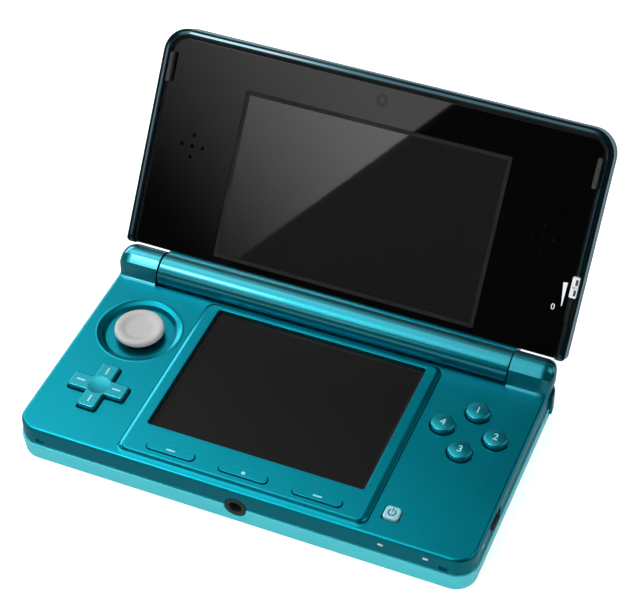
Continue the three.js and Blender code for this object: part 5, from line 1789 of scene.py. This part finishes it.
@dataclass
class Lid:
    """The upper half, made in its closed frame about the hinge and then turned open."""

    plan: Plan
    half: float = 67.8
    near: float = -5.6
    far: float = -70.9
    corner: float = 7.5
    near_corner: float = 1.2
    rim: float = -0.1
    panel: float = 0.9
    panel_back: float = 1.9
    seam: float = 3.0
    top: float = 7.8
    edge: float = 2.4
    rim_width: float = 1.8
    trim_back: float = 0.5
    trim_outer: tuple[Point, ...] = ((0.0, 0.45), (0.06, 0.34), (0.2, 0.28), (0.78, 0.26),
                                     (0.9, 0.22), (1.4, 0.03), (1.6, 0.0))
    trim_inner: tuple[Point, ...] = ((1.6, 0.0), (1.78, 0.04), (1.92, 0.16), (2.0, 0.4))
    frame_edge: float = 0.12
    frame_opening: Point = (3.3, 4.2)
    panel_side: float = 2.85
    panel_gap: float = 0.3
    panel_edge: float = 0.15
    panel_seat: float = 0.2
    # The black sheet in the gap round the panel, which paints shade: its clearance and heights
    gasket: Corner = (0.05, 1.5, 2.05)
    display_border: float = 1.2
    display_gasket: Point = (0.12, 0.8)
    display_face: Point = (0.15, 2.5)
    display_back: Corner = (2.8, 2.2, 4.2)
    display_corner: float = 0.3
    window_corner: float = 0.4
    shell_foot: tuple[Point, ...] = ((0.12, 0.2), (0.0, 0.32))
    shell_near: float = 0.45
    shell_wall: float = 1.3
    outer_lens_x: float = 17.5
    outer_lens_hole: Point = (3.1, 2.3)
    outer_lens: tuple[Point, ...] = ((2.9, -0.05), (2.75, 0.15), (2.2, 0.15), (2.05, 0.0),
                                     (1.5, -0.15), (1.45, -0.25), (1.0, -0.12), (0.0, -0.02))
    outer_lens_foot: float = 6.2
    lens_radius: float = 1.65
    inner_lens: tuple[Point, ...] = ((0.0, 0.02), (0.9, 0.02), (1.0, 0.09), (1.12, 0.09), (1.2, 0.0),
                                     (1.57, 0.0), (1.65, 0.08))
    ledge: float = 1.5
    neck_step: float = 0.2
    neck_height: float = 6.9
    neck_towards: tuple[Point, Point] = ((-3.2, 6.9), (1.6, 5.15))
    neck_turn: Point = (-1.6, 6.2)
    barrel_edge: float = 0.3
    bore: Corner = (2.3, 45.7, 55.0)
    screen: Point = (78.3, 47.4)
    screen_reach: float = 32.65
    speaker: Point = (53.4, 37.75)
    speaker_pitch: float = 3.25
    speaker_hole: float = 0.58
    camera_reach: float = 63.95
    slider: Point = (65.8, 26.75)
    slider_travel: float = 7.2
    slider_half: Point = (1.0, 3.0)
    slider_corner: float = 0.35
    slider_rise: float = 0.35
    slider_edge: float = 0.25
    slider_foot: float = 2.4
    slider_notch: Point = (0.55, 0.3)
    slider_pocket: tuple[float, float, float, float] = (0.05, 0.8, 1.45, 0.85)
    pocket_depth: float = 0.45
    grip_inset: float = 0.01
    grip_top: float = 0.12
    slot_depth: float = 2.7
    # The black sheet on the slider slot's floor, which paints shade
    slot_floor: Corner = (0.3, 2.45, 2.65)
    bumper: Point = (64.5, 58.9)
    bumper_size: Corner = (1.3, 8.7, 0.5)
    wedge: tuple[Point, ...] = ((62.3, -27.3), (63.6, -27.5), (63.4, -20.7), (63.2, -20.7))
    level_mark: Point = (61.0, -19.95)
    level_size: float = 1.7

    def outline(self, near_share: float = 1.0) -> OutlineAt:
        """The lid's outline in plan.

        Args:
            near_share: how much of an inset the hinge side takes.

        Returns:
            A function from an inset to the outline.
        """

        def at(inset: float) -> Outline:
            """The outline drawn in by an inset."""
            shape = boxed(-self.half + inset, self.half - inset, self.far + inset,
                          self.near - inset * near_share, self.corner - inset, self.near_corner)
            return shape(0)

        return at

    def slot(self, gap: float) -> Solid:
        """The cutter for the depth slider's slot.

        Args:
            gap: the room round the slider.

        Returns:
            The cutter.
        """
        x, reach = self.slider
        across, along = self.slider_half
        return block(x - across - gap, x + across + gap, -reach - along - gap,
                     -reach + self.slider_travel + along + gap, self.rim - OVERRUN,
                     self.rim + self.slot_depth)

    def inner_frame(self) -> Solid:
        """The rim, the ledge under the panel, the neck and the hinge barrel.

        Returns:
            The solid.
        """
        plan, near, seat = self.plan, self.near, self.panel_back + self.panel_seat
        ring = softened(self.outline(), self.trim_back, self.seam, 0, self.frame_edge)
        pocket = prism(lambda inset: self.outline(0.0)(self.rim_width + inset), self.rim, seat)
        side, corner = self.frame_opening
        opening = prism(boxed(-self.half + side, self.half - side, self.far + side,
                              near - self.ledge, corner, LEAST_RADIUS), self.rim - OVERRUN,
                        self.seam + OVERRUN)
        radius, end = plan.barrel_radius, plan.barrel_half
        slant = radius * math.sqrt(0.5)
        top = (near + self.neck_step, self.neck_height)
        first, second = self.neck_towards
        neck: Outline = [(near - self.ledge, seat), (near - self.ledge, self.seam),
                         (top[0], self.seam), top, *bend(top, first, self.neck_turn),
                         *bend(self.neck_turn, second, (slant, slant)), (0, 0),
                         (near, self.panel), (near, seat)]
        edge = rounding(self.barrel_edge, self.barrel_edge, end, steps=4)
        profile = [(0, -end), *((radius - inset, -x) for inset, x in reversed(edge)),
                   *((radius - inset, x) for inset, x in edge), (0, end)]
        barrel = turned(profile, CAP_STEPS).moved(along_x(0, 0))
        bores = [rod(*self.bore).moved(along_x(0, 0)).mirrored(side) for side in Side]
        ring.cut(pocket, opening).join(swept_x(neck, -end, end), barrel)
        return ring.cut(self.slot(plan.run), *bores)

    def inside(self, near: float) -> OutlineAt:
        """The outline drawn in at three sides, with the hinge side at a fixed reach.

        Args:
            near: the hinge side's y.

        Returns:
            A function from an inset to the outline.
        """

        def at(inset: float) -> Outline:
            """The outline at an inset."""
            return boxed(-self.half + inset, self.half - inset, self.far + inset, near,
                         self.corner - inset, LEAST_RADIUS)(0)

        return at

    def rim_trim(self) -> Solid:
        """The dark front of the rim: a low outer ledge and a soft bead inside it.

        Returns:
            The solid.
        """
        low, back = self.rim, self.trim_back
        outer = [(0.0, back), *raised(self.trim_outer, low)]
        inner = [(self.trim_inner[0][0], low - OVERRUN), *raised(self.trim_inner, low),
                 (self.trim_inner[-1][0], back + OVERRUN)]
        body = loft(self.outline(), outer)
        return body.cut(loft(self.inside(self.near + OVERRUN), inner), self.slot(self.plan.run))

    def gaskets(self) -> list[tuple[Solid, str]]:
        """A black sheet that paints shade in the gap round the panel, the black seal round the display,
        and a black sheet that paints shade on the slot's floor.

        Returns:
            Each solid with its name.
        """
        near, back = self.near - self.panel_gap, self.seam + OVERRUN
        clear, low, high = self.gasket
        outer = self.rim_width + clear
        # Black sheet in the gap round the panel: painted shade for the dark gap
        gap_shade = loft(self.inside(near), [(outer, low), (outer, high)])
        inner = self.panel_side + self.panel_gap
        gap_shade.cut(prism(lambda inset: self.inside(near + OVERRUN)(inner + inset), 0, back))
        width, depth = self.screen
        middle, border, edge = -self.screen_reach, 2 * self.display_border, DISPLAY_GAP
        low, high = (self.panel + rise for rise in self.display_gasket)
        ring = softened(centred(0, middle, width + border - edge, depth + border - edge,
                                self.window_corner), low, high, edge, 0)
        ring.cut(prism(centred(0, middle, width, depth, self.display_corner), 0, back))
        x, reach = self.slider
        across, along = self.slider_half
        longer, low, high = self.slot_floor
        along += longer
        # Black sheet on the slot's floor: painted shade for the dark slot
        floor = block(x - across, x + across, -reach - along, -reach + self.slider_travel + along,
                      self.rim + low, self.rim + high)
        return [(gap_shade, "panel_gap_painted_shade"), (ring, "display_gasket"), (floor, "slider_slot_painted_shade")]

    def outer_shell(self) -> Solid:
        """The outer half of the lid with its rounded edges.

        Returns:
            The solid.
        """
        profile = raised(self.shell_foot, self.seam)
        profile += rounding(self.edge, self.edge, self.top, steps=10)
        hollow = prism(lambda inset: self.outline()(self.shell_wall + inset), self.seam,
                       self.top - self.shell_wall)
        radius, depth = self.outer_lens_hole
        lenses = [prism(disc(side.value * self.outer_lens_x, -self.camera_reach, radius),
                        self.top - depth, self.top + OVERRUN) for side in Side]
        return loft(self.outline(self.shell_near), profile).cut(hollow, *lenses)

    def front_panel(self) -> Solid:
        """The black panel with its window, speaker holes and camera hole.

        Returns:
            The solid.
        """
        plan = self.plan

        def shape(inset: float) -> Outline:
            """The panel's outline inside the rim."""
            side = self.panel_side + inset
            return boxed(-self.half + side, self.half - side, self.far + side,
                         self.near - self.panel_gap - inset, self.corner - side,
                         self.near_corner)(0)

        sheet = softened(shape, self.panel, self.panel_back, self.panel_edge, 0)
        width, depth = (size + 2 * self.display_border for size in self.screen)
        low, high = self.panel - OVERRUN, self.panel_back + OVERRUN
        window = prism(centred(0, -self.screen_reach, width, depth, self.window_corner), low, high)
        lens = prism(disc(0, -self.camera_reach, self.lens_radius + self.gasket[0]), low, high)
        holes = []
        for side in Side:
            for across, along in ((0, 0), (1, 0), (-1, 0), (0, 1), (0, -1)):
                x = side.value * self.speaker[0] + across * self.speaker_pitch
                y = -self.speaker[1] + along * self.speaker_pitch
                holes.append(prism(disc(x, y, self.speaker_hole, steps=20), low, high))
        return sheet.cut(window, lens, self.slot(plan.run), *holes)

    def display(self) -> Solid:
        """The display's face and the module behind it.

        Returns:
            The solid.
        """
        width, depth = self.screen
        middle, corner = -self.screen_reach, self.display_corner
        drop, back = self.display_face
        glass = prism(centred(0, middle, width - DISPLAY_GAP, depth - DISPLAY_GAP, corner),
                      self.panel + drop, back)
        wider, low, high = self.display_back
        module = prism(centred(0, middle, width + wider, depth + wider, corner), low, high)
        return glass.join(module)

    def depth_slider(self) -> Solid:
        """The slider's knob with a notch across it and two pockets.

        Returns:
            The solid.
        """
        x, reach = self.slider
        across, along = self.slider_half
        face = self.rim - self.slider_rise
        body = softened(centred(x, -reach, 2 * across, 2 * along, self.slider_corner), face,
                        self.rim + self.slider_foot, self.slider_edge, 0)
        start, half = self.slider_notch
        notch = block(x - start, x + 2 * across, -reach - half, -reach + half, face - OVERRUN,
                      self.rim + half)
        return body.cut(notch, *self.pockets(0.0, face - OVERRUN, face + self.pocket_depth))

    def pockets(self, inset: float, low: float, high: float) -> list[Solid]:
        """The two blocks that make or fill the slider's pockets.

        Args:
            inset: how far they are drawn in.
            low, high: the two heights.

        Returns:
            The two blocks.
        """
        x, reach = self.slider
        start, end, way, half = self.slider_pocket
        return [block(x + start + inset, x + end - inset, y - half + inset, y + half - inset, low,
                      high) for y in (-reach - way, -reach + way)]

    def slider_grips(self) -> Solid:
        """The two dark grips set in the slider's pockets.

        Returns:
            The solid.
        """
        face, inset = self.rim - self.slider_rise, self.grip_inset
        first, second = self.pockets(inset, face + self.grip_top,
                                     face + self.pocket_depth + inset)
        return first.join(second)

    def marks(self) -> list[tuple[Solid, str]]:
        """The plain wedge and the zero printed beside the slider.

        Returns:
            Each solid with its name.
        """
        low, high = self.panel - PRINT_RISE, self.panel + PRINT_SINK
        wedge = [[(x, y, z) for x, y in self.wedge] for z in (low, high)]
        x, y = self.level_mark
        turn = Matrix.Translation((x, y, self.panel)) @ Matrix.Rotation(math.pi, 4, "X")
        zero = number("0", self.level_size).moved(turn)
        return [(skinned(wedge), "depth_wedge"), (zero, "depth_zero")]

    def build(self, shop: Workshop) -> None:
        """Makes the lid's pieces and turns them open.

        Args:
            shop: what makes the pieces.
        """
        place = self.plan.at_hinge()
        made = [(self.inner_frame(), "lid_frame", HINGE, "casing_teal", "lid_inner_frame"),
                (self.outer_shell(), "lid_shell", CASING, "casing_teal", "lid_outer_shell"),
                (self.front_panel(), "black_panel", BLACK, "panel_black", "display_panel"),
                (self.display(), "display_face", SCREEN, "display", "upper_display")]
        for solid, name, finish, slot, node in made:
            shop.show(solid.moved(place), name, finish, "lid", slot, node)
        shop.show(self.rim_trim().moved(place), "rim_trim", TRIM, "lid", "casing_teal")
        # The sheets in the panel's gap and on the slot's floor are black as painted shade
        for solid, name in self.gaskets():
            shop.show(solid.moved(place), name, BLACK_RUBBER_AND_SHADE, "lid", "rubber_black")
        for solid, name in self.marks():
            shop.show(solid.moved(place), name, PRINT, "lid", "light")
        shop.show(self.depth_slider().moved(place), "depth_knob", SILVER, "depth_slider",
                  "silver_plastic", "depth_slider")
        shop.show(self.slider_grips().moved(place), "depth_knob_grips", WRAP, "depth_slider",
                  "dark_plastic")
        foot, face = self.outer_lens_foot, self.plan.height + self.plan.gap - self.plan.hinge_z
        for side in Side:
            word = side.name.lower()
            pad = softened(centred(side.value * self.bumper[0], -self.bumper[1], *self.bumper_size),
                           face, self.panel - self.gasket[0], self.panel_gap, 0).moved(place)
            shop.show(pad, f"bumper_{word}", BUMPER, "lid", "rubber_black", f"lid_bumper_{word}")
            rings = raised(self.outer_lens, self.top)
            spot = Matrix.Translation((side.value * self.outer_lens_x, -self.camera_reach, 0))
            lens = turned([(0, foot), (rings[0][0], foot), *rings]).moved(place @ spot)
            shop.show(lens, f"outer_lens_{word}", LENS, "lid", "lens", f"outer_camera_{word}")
        back = self.panel_back + self.panel_gap
        lens = turned([*raised(self.inner_lens, self.panel), (self.lens_radius, back), (0, back)],
                      steps=48)
        lens.moved(place @ Matrix.Translation((0, -self.camera_reach, 0)))
        shop.show(lens, "inner_lens", BLACK, "lid", "lens", "inner_camera")


@dataclass
class Inside:
    """What stays as the CAD model has it, and only gains its finish."""

    finishes: dict[str, Finish] = field(default_factory=lambda: {
        "inner_housing": DARK, "cover_screw_1": STEEL, "cover_screw_2": STEEL,
        "cover_screw_3": STEEL, "cover_screw_4": STEEL, "lower_display": STEEL,
        "main_board": BOARD, "battery": WRAP, "game_card_slot": STEEL, "sd_card_slot": STEEL,
        "charging_jack": STEEL, "infrared_window": LENS, "power_led": LIGHT, "charge_led": LIGHT,
        "wireless_led": LIGHT, "button_membrane": GREY_RUBBER, "circle_pad_housing": DARK,
        "circle_pad_carriage": DARK, "d_pad_pivot": GREY_RUBBER, "shoulder_pin_left": STEEL,
        "shoulder_pin_right": STEEL, "stylus_barrel": DARK, "stylus_tip": SILVER,
        "hinge_clutch": STEEL, "hinge_sleeve": STEEL, "speaker_left": DARK,
        "speaker_right": DARK, "camera_board": BOARD})

    def build(self, shop: Workshop) -> None:
        """Dresses each node."""
        for node, finish in self.finishes.items():
            shop.dress(node, finish)


@dataclass
class Card:
    """A soft light of the studio: a see-through glowing card that faces the object.

    Its azimuth from the front, its elevation and its roll are in degrees, and its size and
    distance in metres. Its glow fades towards its left, right, low and high side, each over a
    share of the card's size.
    """

    name: str
    azimuth: float
    elevation: float
    width: float
    height: float
    strength: float
    distance: float = 1.2
    roll: float = 0.0
    fade: tuple[float, float, float, float] = (0.3, 0.3, 0.3, 0.3)

    def build(self, middle: Vector) -> None:
        """Makes the card with a brightness that fades towards its borders.

        Args:
            middle: the point that it faces.
        """
        around, rise = math.radians(self.azimuth), math.radians(self.elevation)
        back = Vector((math.sin(around) * math.cos(rise), -math.cos(around) * math.cos(rise),
                       math.sin(rise)))
        x, y = self.width / 2, self.height / 2
        mesh = bpy.data.meshes.new(self.name)
        mesh.from_pydata([(-x, -y, 0), (x, -y, 0), (x, y, 0), (-x, y, 0)], [], [(0, 1, 2, 3)])
        card = bpy.data.objects.new(self.name, mesh)
        bpy.context.scene.collection.objects.link(card)
        turn = back.to_track_quat("Z", "Y").to_matrix().to_4x4()
        card.matrix_world = (Matrix.Translation(middle + back * self.distance) @ turn
                             @ Matrix.Rotation(math.radians(self.roll), 4, "Z"))
        card.data.materials.append(self.glow())
        card.visible_camera = False
        card.visible_shadow = False
        log.info("%s: studio light", self.name)

    def glow(self) -> bpy.types.Material:
        """The card's glowing material, brightest away from its faded borders.

        Returns:
            The material.
        """
        recipe = Recipe(self.name)
        across, up, _ = recipe.add("SeparateXYZ", Vector=recipe.place).outputs
        left, right, low, high = self.fade
        amount: NodeOut | None = None
        for way, size, near, far in ((across, self.width, left, right),
                                     (up, self.height, low, high)):
            for border, fade in ((-size / 2, near * size), (size / 2, -far * size)):
                if fade:
                    ramp = recipe.add("MapRange", interpolation_type="SMOOTHSTEP", Value=way,
                                      From_Min=border, From_Max=border + fade,
                                      To_Max=self.strength if amount is None else 1.0).outputs[0]
                    amount = (ramp if amount is None
                              else recipe.reckon(Reckoning.PRODUCT, amount, ramp))
        clear = recipe.add("BsdfTransparent").outputs[0]
        light = recipe.add("Emission", Strength=amount).outputs[0]
        recipe.end_with(clear, light)
        return recipe.material


@dataclass
class Studio:
    """The camera, the floor and the lights."""

    eye: Corner = (0.15331, -0.33912, 0.41211)
    right: Corner = (0.92439, 0.38134, -0.00925)
    up: Corner = (-0.26047, 0.64873, 0.71506)
    lens: float = 110.6
    middle: Corner = (0.0, 0.02, 0.03)
    below: float = 0.35
    above: float = 0.03
    floor_reach: float = 2500.0
    floor_bend: float = 1000.0
    floor_wall: float = 3500.0
    sensor: float = 36.0
    clip: Point = (0.01, 30.0)
    horizon: Point = (-0.1, 0.1)
    cards: tuple[Card, ...] = (
        Card("overhead_card", -90, 70, 2.0, 1.4, 1.5, 1.25, 0.0, (0.3, 0.03, 0.2, 0.4)),
        Card("back_left_card", -126, 51, 1.4, 1.0, 1.4, 1.3, 0.0, (0.5, 0.2, 0.45, 0.35)),
        Card("strip_card", -52, 61, 0.24, 0.5, 13.0, 1.25, 40.0, (0.4, 0.4, 0.2, 0.6)),
        Card("left_card", -121, 22, 1.2, 0.46, 4.2, 1.2, 0.0, (0.25, 0.25, 0.25, 0.3)),
        Card("display_card", -25, 32, 0.3, 0.42, 1.5, 1.2, -28.0, (0.3, 0.0, 0.6, 0.1)),
        Card("low_left_card", -65, 14, 0.9, 0.4, 1.8, 1.2),
        Card("front_card", -5, 5, 1.6, 0.3, 0.9, 1.3, 0.0, (0.3, 0.3, 0.3, 0.4)),
        Card("right_fill_card", 108, 46, 1.3, 0.9, 1.1, 1.3),
        Card("right_card", 130, 14, 0.8, 0.5, 1.2, 1.2, 0.0, (0.4, 0.4, 0.3, 0.4)),
    )

    def camera(self) -> None:
        """Makes the camera at the photograph's viewing angle."""
        x, y = Vector(self.right), Vector(self.up)
        z = x.cross(y)
        data = bpy.data.cameras.new("camera")
        data.lens = self.lens
        data.sensor_width = self.sensor
        data.clip_start, data.clip_end = self.clip
        camera = bpy.data.objects.new("camera", data)
        bpy.context.scene.collection.objects.link(camera)
        turn = Matrix((x.normalized(), y.normalized(), z.normalized())).transposed().to_4x4()
        camera.matrix_world = Matrix.Translation(self.eye) @ turn
        bpy.context.scene.camera = camera

    def floor(self, shop: Workshop) -> None:
        """Makes the plain pale floor, which bends up into a wall far from the object.

        Args:
            shop: what makes the pieces.
        """
        rise = arc(self.floor_reach, self.floor_bend, self.floor_bend, -90, 0, CORNER_STEPS)
        sheet = turned([(0, 0), *rise, (self.floor_reach + self.floor_bend, self.floor_wall)]).body
        sheet.name = sheet.data.name = "floor"
        sheet.data.transform(Matrix.Scale(MM, 4))
        sheet.data.materials.append(shop.material(Pale()))
        sheet.data.shade_smooth()
        sheet.visible_glossy = False

    def sky(self) -> None:
        """Makes the soft surroundings, lighter below the horizon than above it."""
        world = bpy.data.worlds.new("studio")
        bpy.context.scene.world = world
        world.use_nodes = True
        nodes, links = world.node_tree.nodes, world.node_tree.links
        backdrop = nodes["Background"]
        backdrop.inputs["Color"].default_value = (1, 1, 1, 1)
        heading = nodes.new("ShaderNodeTexCoord").outputs["Generated"]
        parts = nodes.new("ShaderNodeSeparateXYZ")
        links.new(heading, parts.inputs[0])
        ramp = nodes.new("ShaderNodeMapRange")
        ramp.interpolation_type = "SMOOTHSTEP"
        low, high = self.horizon
        for name, value in (("From Min", low), ("From Max", high), ("To Min", self.below),
                            ("To Max", self.above)):
            ramp.inputs[name].default_value = value
        links.new(parts.outputs["Z"], ramp.inputs["Value"])
        links.new(ramp.outputs[0], backdrop.inputs["Strength"])

    def build(self, shop: Workshop) -> None:
        """Makes the whole studio.

        Args:
            shop: what makes the pieces.
        """
        self.camera()
        self.floor(shop)
        self.sky()
        for card in self.cards:
            card.build(Vector(self.middle))
        view = bpy.context.scene.view_settings
        view.view_transform = "Standard"
        view.look = "None"


def main() -> None:
    """Builds the studio and each sub-assembly in order."""
    shop = Workshop()
    Studio().build(shop)
    plan = Plan()
    shoulders, knobs = Shoulders(plan), SideKnobs(plan)
    pad, cross, buttons, keys = ThumbPad(plan), CrossPad(plan), FaceButtons(plan), SmallKeys(plan)
    Base(plan, shoulders, knobs, pad, cross, buttons, keys).build(shop)
    for part in (pad, cross, buttons, keys, shoulders, knobs, Lid(plan), Inside()):
        part.build(shop)


if __name__ == "__main__":
    main()
